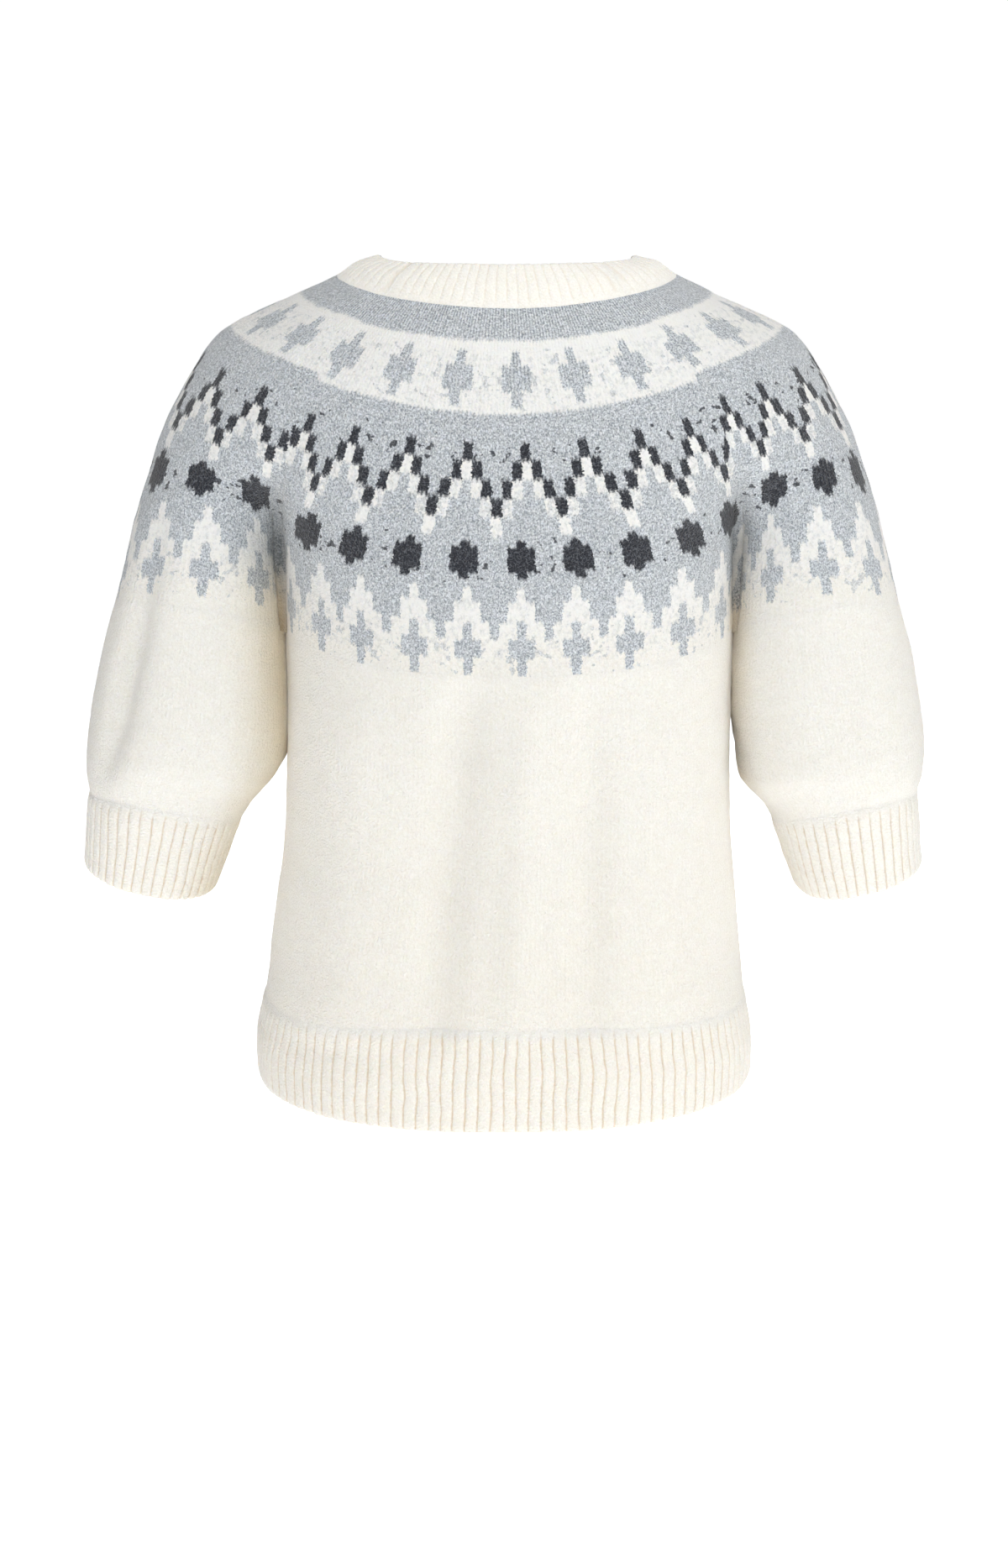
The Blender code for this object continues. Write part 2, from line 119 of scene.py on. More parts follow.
# The neckband and the yoke. crease says how far the ring has folded in between body and arm.
YOKE = Sections(
    ("level", "outer_x", "outer_z", "back_y", "back_z", "front_y", "front_z")
    + ("inner_x", "inner_z", "middle_y", "half_depth", "rise", "crease"),
    (-1.00, 0.0835, 0.0110, 0.0620, 0.0120, 0.0680, -0.0530, ARM_INNER_X, -0.010, 0.0, 0.040, 0.000, 0.0),
    (-0.50, 0.0995, 0.0062, 0.0738, 0.0004, 0.0790, -0.0640, ARM_INNER_X, -0.015, 0.0, 0.042, 0.000, 0.0),
    (0.000, 0.1125, -0.002, 0.0830, -0.0145, 0.088, -0.0780, ARM_INNER_X, -0.020, 0.0, 0.045, 0.000, 0.0),
    (0.092, 0.1385, -0.014, 0.0940, -0.0340, 0.0985, -0.096, ARM_INNER_X, -0.035, 0.0, 0.047, 0.000, 0.0),
    (0.290, 0.1885, -0.0385, 0.1080, -0.0790, 0.114, -0.140, ARM_INNER_X, -0.070, 0.0, 0.050, 0.004, 0.0),
    (0.370, 0.2065, -0.0600, 0.1120, -0.0965, 0.1185, -0.158, ARM_INNER_X, -0.086, 0.0, 0.052, 0.006, 0.0),
    (0.550, 0.2290, -0.1000, 0.1158, -0.1400, 0.1255, -0.199, ARM_INNER_X, -0.125, 0.0, 0.056, 0.008, 0.26),
    (0.680, 0.2405, -0.1300, 0.1165, -0.1720, 0.129, -0.229, ARM_INNER_X, -0.156, 0.0, 0.060, 0.010, 0.74),
    (0.757, 0.2485, -0.1540, 0.1165, -0.1900, 0.130, -0.246, ARM_INNER_X, -0.175, 0.0, 0.062, 0.012, 0.93),
    (1.000, 0.2655, -0.2170, 0.1150, -0.2490, 0.130, -0.297, ARM_INNER_X, -0.234, 0.0, 0.064, 0.014, 1.0),
)

# The body below the yoke, its rib seam and its rib edge
TORSO = Sections(
    ("level", "half_width", "side_z", "back_y", "back_z", "front_y", "front_z"),
    (1.00, BODY_HALF_WIDTH, -0.234, 0.1150, -0.2490, 0.1300, -0.2970),
    (1.30, 0.1505, -0.300, 0.1120, -0.3060, 0.1320, -0.3400),
    (1.60, 0.1527, -0.375, 0.1095, -0.3720, 0.1300, -0.3940),
    (1.85, 0.1607, -0.445, 0.1140, -0.4400, 0.1270, -0.4500),
    (2.00, 0.1670, -0.498, 0.1205, -0.4900, 0.1280, -0.4960),
    (2.50, 0.1722, -0.528, 0.1258, -0.5255, 0.1310, -0.5290),
    (3.00, 0.1718, -0.554, 0.1268, -0.5600, 0.1315, -0.5610),
)

# A sleeve on the +X side, each ring given by its outer and its inner point. rise lifts its front and back
# above the corners at the ends of the underarm seam.
SLEEVE = Sections(
    ("level", "outer_x", "outer_z", "inner_x", "inner_z", "middle_y", "half_depth", "rise"),
    (1.00, 0.2655, -0.2170, ARM_INNER_X, -0.234, 0.000, 0.0640, 0.014),
    (1.25, 0.2755, -0.2530, 0.1532, -0.2710, 0.002, 0.0670, 0.010),
    (1.50, 0.2835, -0.2910, 0.1542, -0.3090, 0.004, 0.0690, 0.008),
    (1.75, 0.2885, -0.3240, 0.1618, -0.3440, 0.007, 0.0676, 0.008),
    (1.90, 0.2886, -0.3425, 0.1738, -0.3620, 0.009, 0.0614, 0.008),
    (2.00, 0.2866, -0.3540, 0.1806, -0.3745, 0.011, 0.0582, 0.008),
    (2.50, 0.2888, -0.3865, 0.1912, -0.4035, 0.015, 0.0530, 0.002),
    (3.00, 0.2915, -0.4120, 0.2006, -0.4310, 0.018, 0.0480, -0.004),
)

# The sweater hangs a little to one side: each row is a sideways shift, then the drops below the origin where
# it starts, is whole and ends, and the drop over which it ends
LEANS = ((0.003, 0.05, 0.28, 0.46, 0.18), (-0.003, 0.40, 0.56, 0.72, 0.16))
LEAN_HALF_WIDTH = 0.28

# How far the sides of the body and the insides of the sleeves press together, by level, and how wide they do
BODY_SIDE = (0.9, 1.5)
BODY_PRESS = ((1.0, 1.08, 1.5, 1.7), (0.0, 0.0007, 0.0007, 0.0))
SLEEVE_PRESS = {
    -1: ((0.76, 1.0, 1.25, 1.5, 1.64, 1.80), (0.0, 0.0028, 0.0052, 0.0062, 0.0044, 0.0)),
    1: (
        (0.76, 1.0, 1.18, 1.34, 1.48, 1.60, 1.76, 1.92),
        (0.0, 0.0036, 0.0062, 0.0050, 0.0010, 0.0, 0.0036, 0.0),
    ),
}
PRESSED_STATIONS = 1.35
PRESSED_POWER = 6

# How far each cuff's outside and inside hang outwards of a straight sleeve's, and the levels where that
# starts and is whole
CUFF_DRIFT = {-1: (0.0022, 0.0040), 1: (-0.0028, 0.0026)}
CUFF_DRIFT_LEVELS = (1.6, 2.1)

# Soft upright folds of the body: troughs above zero, ridges below. lean is the way they drift on going down.
BODY_FOLDS = (
    # face, x, lean, depth, half_width, top, whole
    ("back", -0.114, -0.004, -0.0105, 0.034, 0.98, 1.30),
    ("back", -0.028, -0.019, 0.0100, 0.015, 0.84, 1.30),
    ("back", 0.012, -0.004, -0.0055, 0.016, 0.90, 1.40),
    ("back", 0.050, 0.004, 0.0072, 0.014, 0.88, 1.40),
    ("back", 0.094, 0.006, -0.0030, 0.022, 1.05, 1.50),
    ("front", -0.098, -0.008, 0.0050, 0.017, 1.20, 1.75),
    ("front", -0.030, -0.004, 0.0042, 0.016, 1.10, 1.65),
    ("front", 0.046, 0.006, 0.0058, 0.015, 1.15, 1.70),
    ("front", 0.108, 0.008, 0.0035, 0.016, 1.25, 1.75),
)

# Rounds of colourwork: the motifs in each, and their count at some shares of the round from the centre back.
# The motifs lie closer together where the yoke was narrowed.
ROUNDS = {
    "zigzag": (
        31,
        ((-0.25, -7.25), (-0.1975, -6), (-0.1225, -4), (-0.0931, -3))
        + ((0.0809, 2), (0.1121, 3), (0.1680, 5), (0.25, 7.3)),
    ),
    "dots": (
        31,
        ((-0.25, -7.85), (-0.1846, -6), (-0.1493, -5), (-0.1012, -4), (-0.0751, -3), (-0.0479, -2))
        + ((0.0057, 0), (0.0323, 1), (0.0607, 2), (0.0909, 3), (0.1224, 4))
        + ((0.1590, 5), (0.1925, 6), (0.25, 8.0)),
    ),
    "trees": (
        37,
        ((-0.25, -9.6), (-0.1778, -7), (-0.0905, -4), (-0.0690, -3), (-0.0434, -2), (0.0049, 0))
        + ((0.0297, 1), (0.0540, 2), (0.0820, 3), (0.1115, 4), (0.1563, 6), (0.25, 9.4)),
    ),
}

# Soft folds down the sleeves, placed by their angle from the back of the arm towards its outside
SLEEVE_FOLDS = (
    # side, angle, lean, depth, half_width, top, whole
    (-1, 0.58, 0.18, 0.0094, 0.18, 0.58, 1.30),
    (-1, 2.60, 0.0, 0.0035, 0.26, 0.90, 1.50),
    (1, 0.15, 0.0, 0.0028, 0.26, 0.90, 1.50),
    (1, 2.30, 0.0, 0.0040, 0.24, 0.80, 1.45),
)


def pressed(points, level, nearness, press):
    """Points of the body's side or of the inside of a sleeve, moved together until they touch."""
    amount = float(np.interp(level, *press))
    points[:, 0] += np.sign(points[:, 0]) * nearness * amount
    return points


def near_body(stations):
    """How near the inside of a sleeve each station lies, counted from there, from 0 to 1."""
    return np.exp(-((stations / PRESSED_STATIONS) ** PRESSED_POWER))


def swell(level, top, whole, end, fade):
    """How full a fold is at a level: none above its top, whole some way down, then fading out to its end."""
    return eased(np.clip(np.minimum((level - top) / (whole - top), (end - level) / fade), 0, 1))


def body_dents(x, front, level):
    """How far the folds push each point of the body towards +Y, from its place across."""
    dents = np.zeros(len(x))
    for face, middle_x, lean, depth, fold_width, top, whole in BODY_FOLDS:
        at_front = face == "front"
        away = (x - middle_x - lean * (level - 1)) / fold_width
        inward = -depth if at_front else depth
        dent = inward * np.exp(-away * away) * swell(level, top, whole, BODY_FOLD_END, FOLD_FADE)
        dents += np.where(front == at_front, dent, 0)
    return dents


def leaned(points):
    """The points moved sideways as the sweater hangs."""
    fade = np.maximum(1 - (points[:, 0] / LEAN_HALF_WIDTH) ** 2, 0)
    points[:, 0] += fade * sum(shift * swell(-points[:, 2], *drops) for shift, *drops in LEANS)
    return points


def signed_power(value, power):
    return np.copysign(np.abs(value) ** power, value)


def oval(angle, half_width, half_depth, power):
    """Points of a squared oval, from angle 0 at the back (-Y) towards the side (+X)."""
    x = half_width * signed_power(np.sin(angle), 2 / power)
    return x, -half_depth * signed_power(np.cos(angle), 2 / power)


def angle_at(share, half_width, half_depth, power, first, last):
    """The angles that lie at shares of an oval's length between two angles."""
    angles = np.linspace(first, last, LENGTH_SAMPLES)
    x, y = oval(angles, half_width, half_depth, power)
    lengths = running(np.hypot(np.diff(x), np.diff(y)))
    return np.interp(share * lengths[-1], lengths, angles)


def turn_to_underarm(half_depth, power):
    """The angle from the back at which an oval reaches the end of the underarm seam."""
    return math.acos((UNDERARM_HALF_LENGTH / half_depth) ** (power / 2))


def quarter(stations):
    """The side of each station, whether it is at the front, and its place from the centre, 0, to 3."""
    stations = np.mod(stations, 12)
    side = np.where(stations <= 6, 1, -1)
    stations = np.minimum(stations, 12 - stations)
    return side, stations > 3, np.minimum(stations, 6 - stations)


def ring_share(place):
    """How far round its quarter of the yoke's ring a place lies, from 0 at the centre to 1 at the outside."""
    over_crease = CREASE_SHARE + CREASE_STRIP_SHARE
    return np.interp(place, (0, 1, 2, 3), (0, CREASE_SHARE, over_crease, 1))


def motifs_along(name, share):
    """The count of a round's motifs at shares of the round from 0 to 1, from the centre back."""
    motifs, places = ROUNDS[name]
    shares, counts = np.array(places).T
    return np.interp(share, np.append(shares, shares + 1), np.append(counts, counts + motifs))


def chart_level(place, level):
    """Levels of the colourwork, which sits a little higher over the arms and drops towards their outsides."""
    over_arm = eased(np.clip((place - LIFT_FROM) / (LIFT_WHOLE - LIFT_FROM), 0, 1))
    lift = ARM_LIFT * min(level / LIFT_WHOLE_LEVEL, 1) * over_arm
    drop = OUTER_DROP * float(np.interp(level, *DROP_LEVELS)) * np.maximum(place - 2, 0) ** DROP_POWER
    return level + lift - drop


def painted_crease_shade(place, side, level):
    """How much painted shade each station gets in the armpit's crease, from 0 to 1."""
    reach = float(np.interp(level, *CREASE_REACH))
    beside = np.clip((reach - np.abs(place - CREASE_MIDDLE)) / (reach - CREASE_HALF), 0, 1)
    strength = np.where(side < 0, PAINTED_SHADE[-1][0], PAINTED_SHADE[1][0])
    return beside * strength * float(np.interp(level, *CREASE_STRENGTH))


def torso_angle(place, front):
    """Angle round the body's oval for places from 0, the centre, to 3, the side seam."""
    edge = YOKE.at(1.0)
    angle = np.empty(len(place))
    for at_front, depth in ((False, edge.back_y), (True, edge.front_y)):
        here = front == at_front
        turn = turn_to_underarm(depth, BODY_POWER)
        near = angle_at(np.minimum(place[here], 1), BODY_HALF_WIDTH, depth, BODY_POWER, 0.0, turn)
        angle[here] = near + (math.pi / 2 - turn) * np.maximum(place[here] - 1, 0) / 2
    return angle


def arm_angle(place, front):
    """Angle round the arm's oval for places from 2, the underarm, to 3, the outside of the arm."""
    edge = SLEEVE.at(1.0)
    half_width = (edge.outer_x - edge.inner_x) / 2
    turn = turn_to_underarm(edge.half_depth, ARM_POWER)
    angle = angle_at(place - 2, half_width, edge.half_depth, ARM_POWER, -turn, math.pi / 2)
    return np.where(front, math.pi - angle, angle)


def arm_ring(ring, angle, level, side):
    """Points of an arm's ring on the +X side, which its outer and inner points tilt and its folds dent."""
    across, deep = oval(angle, 1.0, 1.0, ARM_POWER)
    half_width = (ring.outer_x - ring.inner_x) / 2
    dent = np.zeros(len(angle))
    for fold_side, fold_angle, lean, depth, fold_width, top, whole in SLEEVE_FOLDS:
        drifted = fold_angle + lean * (level - 1)
        away = np.mod(angle - drifted + math.pi, 2 * math.pi) - math.pi
        fullness = depth * swell(level, top, whole, SLEEVE_FOLD_END, FOLD_FADE)
        dent += np.where(side == fold_side, fullness * np.exp(-((away / fold_width) ** 2)), 0)
    shrink = 1 - dent / half_width
    x = (ring.outer_x + ring.inner_x) / 2 + half_width * across * shrink
    y = ring.middle_y + ring.half_depth * deep * shrink
    z = (ring.outer_z + ring.inner_z) / 2 + (ring.outer_z - ring.inner_z) / 2 * across
    corner = UNDERARM_HALF_LENGTH / ring.half_depth
    return np.column_stack([x, y, z + ring.rise * (deep * deep - corner * corner)])


def dome_points(row, place, front):
    """The yoke's smooth dome, as it would be with no crease at the armpit."""
    share = ring_share(place)
    found = np.empty((len(place), 3))
    for hand, depth, end_z in ((1, row.back_y, row.back_z), (-1, row.front_y, row.front_z)):
        here = front == (hand < 0)
        angle = angle_at(share[here], row.outer_x, depth, DOME_POWER, 0.0, math.pi / 2)
        x, y = oval(angle, row.outer_x, depth, DOME_POWER)
        slope = np.maximum(np.cos(math.pi / 2 * share[here]), 0) ** DOME_SLOPE_POWER
        found[here] = np.column_stack([x, hand * y, row.outer_z + (end_z - row.outer_z) * slope])
    return found


def folded_points(row, place, front, level, side):
    """The yoke folded in all the way at the armpit: the body's oval beside the arm's."""
    angle = torso_angle(np.minimum(place, 1), front)
    beside = np.empty((len(place), 3))
    for hand, depth, end_z in ((1, row.back_y, row.back_z), (-1, row.front_y, row.front_z)):
        here = front == (hand < 0)
        x, y = oval(angle[here], BODY_HALF_WIDTH, depth, BODY_POWER)
        z = row.inner_z + (end_z - row.inner_z) * np.cos(angle[here]) ** 2
        beside[here] = np.column_stack([x, hand * y, z])
    beside[:, 1] += body_dents(beside[:, 0] * side, front, level)
    arm = arm_ring(row, arm_angle(np.maximum(place, 2), front), level, side)
    for hand in (-1, 1):
        nearness = np.where(side == hand, -near_body(place - 1), 0)
        arm = pressed(arm, level, nearness, SLEEVE_PRESS[hand])
    across = np.clip(place - 1, 0, 1)[:, None]
    return beside * (1 - across) + arm * across


def yoke_points(stations, level):
    """Points round the neckband or the yoke at a level, from -1 to 1."""
    side, front, place = quarter(stations)
    row = YOKE.at(level)
    points = dome_points(row, place, front)
    if row.crease > 0:
        points += (folded_points(row, place, front, level, side) - points) * row.crease
    points[:, 0] *= side
    return leaned(points)


def torso_points(stations, level):
    """Points round the body or its hem at a level, from 1 to 3."""
    side, front, place = quarter(stations)
    row = TORSO.at(level)
    angle = torso_angle(place, front)
    depth, end_z = np.where(front, row.front_y, row.back_y), np.where(front, row.front_z, row.back_z)
    x, y = oval(angle, row.half_width, depth, BODY_POWER)
    x *= side
    y *= np.where(front, -1, 1)
    y += body_dents(x, front, level)
    found = np.column_stack([x, y, row.side_z + (end_z - row.side_z) * np.cos(angle) ** 2])
    return leaned(pressed(found, level, np.interp(place, BODY_SIDE, (0, 1)), BODY_PRESS))


def sleeve_points(side):
    """The function that gives the points round one side's sleeve and cuff at a level, from 1 to 3."""

    def points(stations, level):
        stations = 2 + np.mod(stations - 2, 4)
        upper = arm_angle(np.minimum(np.minimum(stations, 4), 6 - np.minimum(stations, 4)), stations > 3)
        turn = turn_to_underarm(SLEEVE.at(1.0).half_depth, ARM_POWER)
        under = math.pi + turn + (math.pi - 2 * turn) * (stations - 4) / 2
        angle = np.where(stations <= 4, upper, under)
        found = arm_ring(SLEEVE.at(level), angle, level, np.full(len(angle), side))
        found[:, 0] *= side
        inside = near_body(np.where(stations < 3, stations - 1, stations - 5))
        lower = float(np.interp(level, CUFF_DRIFT_LEVELS, (0, 1)))
        outer, inner = CUFF_DRIFT[side]
        across = np.sin(angle) / 2 + 0.5
        found[:, 0] += side * lower * (outer * across + inner * (1 - across))
        return leaned(pressed(found, level, -inside, SLEEVE_PRESS[side]))

    return points


# ---------------------------------------------------------------- cloth

FINE_ROUND = 960
RIB_COLUMNS = np.array([0.0, 0.06, 0.12, 0.20, 0.34, 0.5, 0.66, 0.80, 0.88, 0.94])
RIB_VALLEY = 0.115
RIB_CROWN = 0.16
RIB_FADE = 0.008
STILL_RIBS = 2
EDGE_ROLL = 0.0022
RIM_ANGLE = math.radians(72)

# How many columns and rows the pieces have, and how much closer the columns lie towards the crease
CROWDING = 1.3
YOKE_BODY_ARC = 68
YOKE_ARM_ARC = 46
CREASE_COLUMNS = 3
YOKE_ROWS = 90
PANEL_ARC = 96
PANEL_SIDE = 10
PANEL_ROWS = 96
SLEEVE_ARC = 54
SLEEVE_UNDERARM = 20
SLEEVE_ROWS = 84
NECK_ROWS = 16
HEM_ROWS = 22
CUFF_ROWS = 18

# The two panels with their centre stations, and the two sleeves
FACES = (("back", 0.0), ("front", 6.0))
SIDES = ((-1, "left"), (1, "right"))

# The levels where the ribs of the hem and cuffs and those of the neckband are equally wide
RIB_MIDDLE = 2.5
NECK_MIDDLE = -0.5

# How much lower and straighter the ribs of the neckband are than those of the hem and how tightly they are
# packed, which flattens their relief and takes away most of their painted valley shade, and how much
# straighter those of the cuffs are
NECK_RISE = 0.45
NECK_WAVER = 0.5
NECK_PACKED = 0.62
CUFF_WAVER = 0.7

# How far in levels pieces reach under the ones below them, and how deep they sink there
NECK_TUCK = 0.015
BODY_TUCK = 0.020
ARM_TUCK = 0.026
RIB_TUCK = 0.055
SEAM_SINK = 0.0004

# Layers of soft noise, each a size in metres, a seed and a share: those of all cloth, of how far the ribs
# waver and of how full they are
CLOTH_SWELLINGS = ((0.045, 3.1, 1.0), (0.016, 7.7, 0.5), (0.0052, 2.3, 0.28))
RIB_WAVERINGS = ((0.030, 5.3, 1.0), (0.011, 9.2, 0.35))
RIB_FULLNESS = ((0.022, 1.9, 0.25),)

# The colourwork is lifted over the arms, from one place of the quarter to another and more and more down to a
# level, and it drops again towards the outsides of the arms
ARM_LIFT = 0.05
LIFT_FROM = 0.75
LIFT_WHOLE = 2.10
LIFT_WHOLE_LEVEL = 0.6
OUTER_DROP = 0.052
DROP_POWER = 1.5
DROP_LEVELS = ((0.42, 0.66), (0.0, 1.0))

# How far the painted shade in the crease reaches from the middle of its bottom, and how strong it is, by
# level
CREASE_MIDDLE = 1.5
CREASE_HALF = 0.5
CREASE_REACH = ((0.68, 0.93), (0.62, 0.51))
CREASE_STRENGTH = ((0.5, 0.8, 0.88, 1.0), (0.0, 0.6, 0.6, 1.0))

# How strong the painted shade down the inside of each arm is, beside the body, and how far out it reaches
# from the x that follows. That begins at a height, over a ramp, and moves outwards with the arms below the
# height where they bend away from the body.
PAINTED_SHADE = {-1: (0.95, 0.040), 1: (0.70, 0.019)}
PAINTED_SHADE_X = 0.1505
PAINTED_SHADE_INNER_FADE = 0.004
PAINTED_SHADE_POWER = 1.5
PAINTED_SHADE_TOP = -0.120
PAINTED_SHADE_RAMP = 0.055
PAINTED_SHADE_BEND = -0.33
PAINTED_SHADE_SLANT = 0.45


def even_stations(points, level, first, last, count):
    """Stations at equal lengths along one ring."""
    samples = np.linspace(first, last, FINE_ROUND + 1)
    lengths = running(np.linalg.norm(np.diff(points(samples, level), axis=0), axis=1))
    return np.interp(np.linspace(0, lengths[-1], count + 1), lengths, samples)


def crowded(first, last, count, towards_last):
    """Stations between two stations, closer together towards one of them."""
    steps = np.linspace(0, 1, count + 1)
    shares = 1 - (1 - steps) ** CROWDING if towards_last else steps**CROWDING
    return first + (last - first) * shares


def mirrored(half, middle, far):
    """Stations of one half, then of the other half, about the station in the middle."""
    return np.concatenate([half[:-1], [middle], far - half[:-1][::-1]])


def soft_noise(points, layers):
    """Smooth noise at each point, about from -1 to 1, from layers of a size, a seed and a share."""
    total = 0
    for size, seed, share in layers:
        flat = points.reshape(-1, 3) / size + seed
        total += share * np.array([noise.noise(Vector(p)) for p in flat])
    return total.reshape(points.shape[:-1])


def facing(grid, closed, hand):
    """Unit vectors out of the cloth. hand is -1 where its stations run the other way round."""
    if closed:
        along = np.roll(grid, -1, axis=1) - np.roll(grid, 1, axis=1)
    else:
        along = np.gradient(grid, axis=1)
    out = hand * np.cross(np.gradient(grid, axis=0), along)
    return out / np.linalg.norm(out, axis=2, keepdims=True)


def rib_height(phase):
    """Height of a rib from 0 to 1: a wide round rib between narrow valleys at whole numbers."""
    away = np.abs(phase - np.round(phase))
    return (1 - np.exp(-((away / RIB_VALLEY) ** 2))) * (1 - RIB_CROWN * (1 - 2 * away) ** 2)


def rolled(lengths_left):
    """How far an edge has rolled inwards, from the lengths that are left to it, in metres."""
    t = np.clip(1 - lengths_left / EDGE_ROLL, 0, 1)
    return EDGE_ROLL * 0.5 * (1 - np.sqrt(1 - t * t))


def tucked(grid, closed, hand):
    """The grid with its last row sunk a little, where it slips under the piece that it is linked to."""
    grid[-1] -= facing(grid, closed, hand)[-1] * SEAM_SINK
    return grid


def below_yoke(stations):
    """The row of the yoke that slips under the body and the sleeves."""
    side, front, place = quarter(stations)
    body = torso_points(np.where(front, 6 - np.minimum(place, 1), np.minimum(place, 1)) * side, 1 + BODY_TUCK)
    arm = np.empty_like(body)
    for hand in (-1, 1):
        here = side == hand
        at = np.maximum(place[here], 2)
        arm[here] = sleeve_points(hand)(np.where(front[here], 6 - at, at), 1 + ARM_TUCK)
    across = np.clip(place - 1, 0, 1)[:, None]
    return body * (1 - across) + arm * across


def lengths_down(grid):
    """Mean length from the top of a piece to each of its rows."""
    return running(np.linalg.norm(np.diff(grid, axis=0), axis=2).mean(axis=1))


def lengths_round(grid, closed):
    """Length along the middle row of a piece to each of its columns, with one more where it closes."""
    row = grid[len(grid) // 2]
    if closed:
        row = np.concatenate([row, row[:1]])
    return running(np.linalg.norm(np.diff(row, axis=0), axis=1))


def knit_sheet(name, grid, closed, hand, maps, wall, material):
    """A thin knitted sheet over a grid of points, thickened inwards, with its maps of stitches."""
    rows, columns = grid.shape[:2]
    index = np.arange(rows * columns).reshape(rows, columns)
    if closed:
        index = joined_end(index)

    def corners(values):
        found = np.stack([values[:-1, :-1], values[1:, :-1], values[1:, 1:], values[:-1, 1:]], axis=2)
        found = found.reshape(-1, 4, *values.shape[2:])
        return found if hand > 0 else found[:, ::-1]

    mesh = bpy.data.meshes.new(name)
    mesh.from_pydata(grid.reshape(-1, 3).tolist(), [], corners(index).tolist())
    for map_name, values in maps.items():
        layer = mesh.uv_layers.new(name=map_name)
        whole = np.stack([np.broadcast_to(value, index.shape) for value in values], axis=-1)
        layer.data.foreach_set("uv", corners(whole).astype(np.float32).ravel())
    mesh.materials.append(material)
    piece = bpy.data.objects.new(name, mesh)
    bpy.context.scene.collection.objects.link(piece)
    bpy.ops.object.select_all(action="DESELECT")
    bpy.context.view_layer.objects.active = piece
    piece.select_set(True)
    thickness = piece.modifiers.new("wall", "SOLIDIFY")
    thickness.thickness = wall
    thickness.offset = -1.0
    bpy.ops.object.modifier_apply(modifier=thickness.name)
    bpy.ops.object.shade_smooth_by_angle(angle=RIM_ANGLE)
    return piece


def joined_end(values):
    """Values with the first column again at the end, for a closed ring."""
    return np.concatenate([values, values[:, :1]], axis=1)


def shelter(grid):
    """How much painted shade each point of the arms beside the body gets, from 0 to 1, on a closed piece."""
    x, z = grid[..., 0], grid[..., 2]
    out = np.abs(x) - PAINTED_SHADE_X - PAINTED_SHADE_SLANT * np.maximum(PAINTED_SHADE_BEND - z, 0)
    strength, reach = np.where(x[..., None] < 0, PAINTED_SHADE[-1], PAINTED_SHADE[1]).transpose(2, 0, 1)
    near = np.where(out > 0, 1 - out / reach, 1 + out / PAINTED_SHADE_INNER_FADE).clip(0, 1)
    return joined_end(strength * near**PAINTED_SHADE_POWER * np.clip((PAINTED_SHADE_TOP - z) / PAINTED_SHADE_RAMP, 0, 1))


def uneven(grid, closed, hand, amount):
    """The grid with the soft unevenness of brushed cloth."""
    return grid + facing(grid, closed, hand) * (soft_noise(grid, CLOTH_SWELLINGS) * amount)[..., None]


def ribbed_grid(points, bases, levels, closed, hand, cloth, rise, waver, free_first=False):
    """A grid of round ribs that waver a little, fading in at the seam and rolled at the free edge."""
    ribs = len(bases) - 1
    phases = (np.arange(ribs)[:, None] + RIB_COLUMNS).ravel()
    if not closed:
        phases = np.append(phases, ribs)
    places = np.interp(phases, np.arange(ribs + 1), bases)
    still = np.stack([points(places, level) for level in levels])
    shift = waver * soft_noise(still, RIB_WAVERINGS)
    if not closed:
        shift = shift * np.clip(np.minimum(phases, ribs - phases) / STILL_RIBS, 0, 1)
    around = np.arange(-1, ribs + 2), stretched_ends(bases, closed)
    grid = np.stack([points(np.interp(phases + row, *around), level) for level, row in zip(levels, shift)])
    down = lengths_down(grid)
    from_seam, from_edge = (np.maximum(down[-2] - down, 0), down) if free_first else (down, down[-1] - down)
    height = rise * rib_height(phases)[None, :] * np.clip(from_seam / RIB_FADE, 0, 1)[:, None]
    height = height * (1 + soft_noise(still, RIB_FULLNESS)) - rolled(from_edge)[:, None]
    height = height + soft_noise(grid, CLOTH_SWELLINGS) * cloth.unevenness
    grid = grid + facing(grid, closed, hand) * height[..., None]
    return grid, np.append(phases, ribs) if closed else phases, from_seam[:, None]


def stretched_ends(bases, closed):
    """Rib stations with one more at each end."""
    first, last = bases[1] - bases[0], bases[-1] - bases[-2]
    if not closed:
        return np.concatenate([[bases[0]], bases, [bases[-1]]])
    return np.concatenate([[bases[0] - last], bases, [bases[-1] + first]])


# ---------------------------------------------------------------- finishes

# The width and height of a stitch in metres, and how many stand in a round of the yoke and in a level of it
WALE_WIDTH = 0.0029
COURSE_HEIGHT = 0.0023
WALES_ROUND = 372
ROWS_PER_LEVEL = 92

# Sizes in metres of what each noise of the wool stands for, and the depths of the reliefs
CURL_SIZE = 0.00078
HAIR_SIZE = 0.0024
LUMP_SIZE = 0.0014
MOTTLE_SIZE = 0.011
PLAIN_WANDER_SIZE = 0.008
RIB_WANDER_SIZE = 0.004
CHART_WANDER_SIZE = 0.005
SPECK_SIZE = 0.0062
FLANK_SIZE = 0.0026
HEATHER_SIZE = 0.0030
PLAIN_RELIEF = 0.0013
RIB_RELIEF = 0.0010
CHART_RELIEF = 0.0014

# The tone of wool midway between its light and its shaded colour
MIDDLE_TONE = 0.42

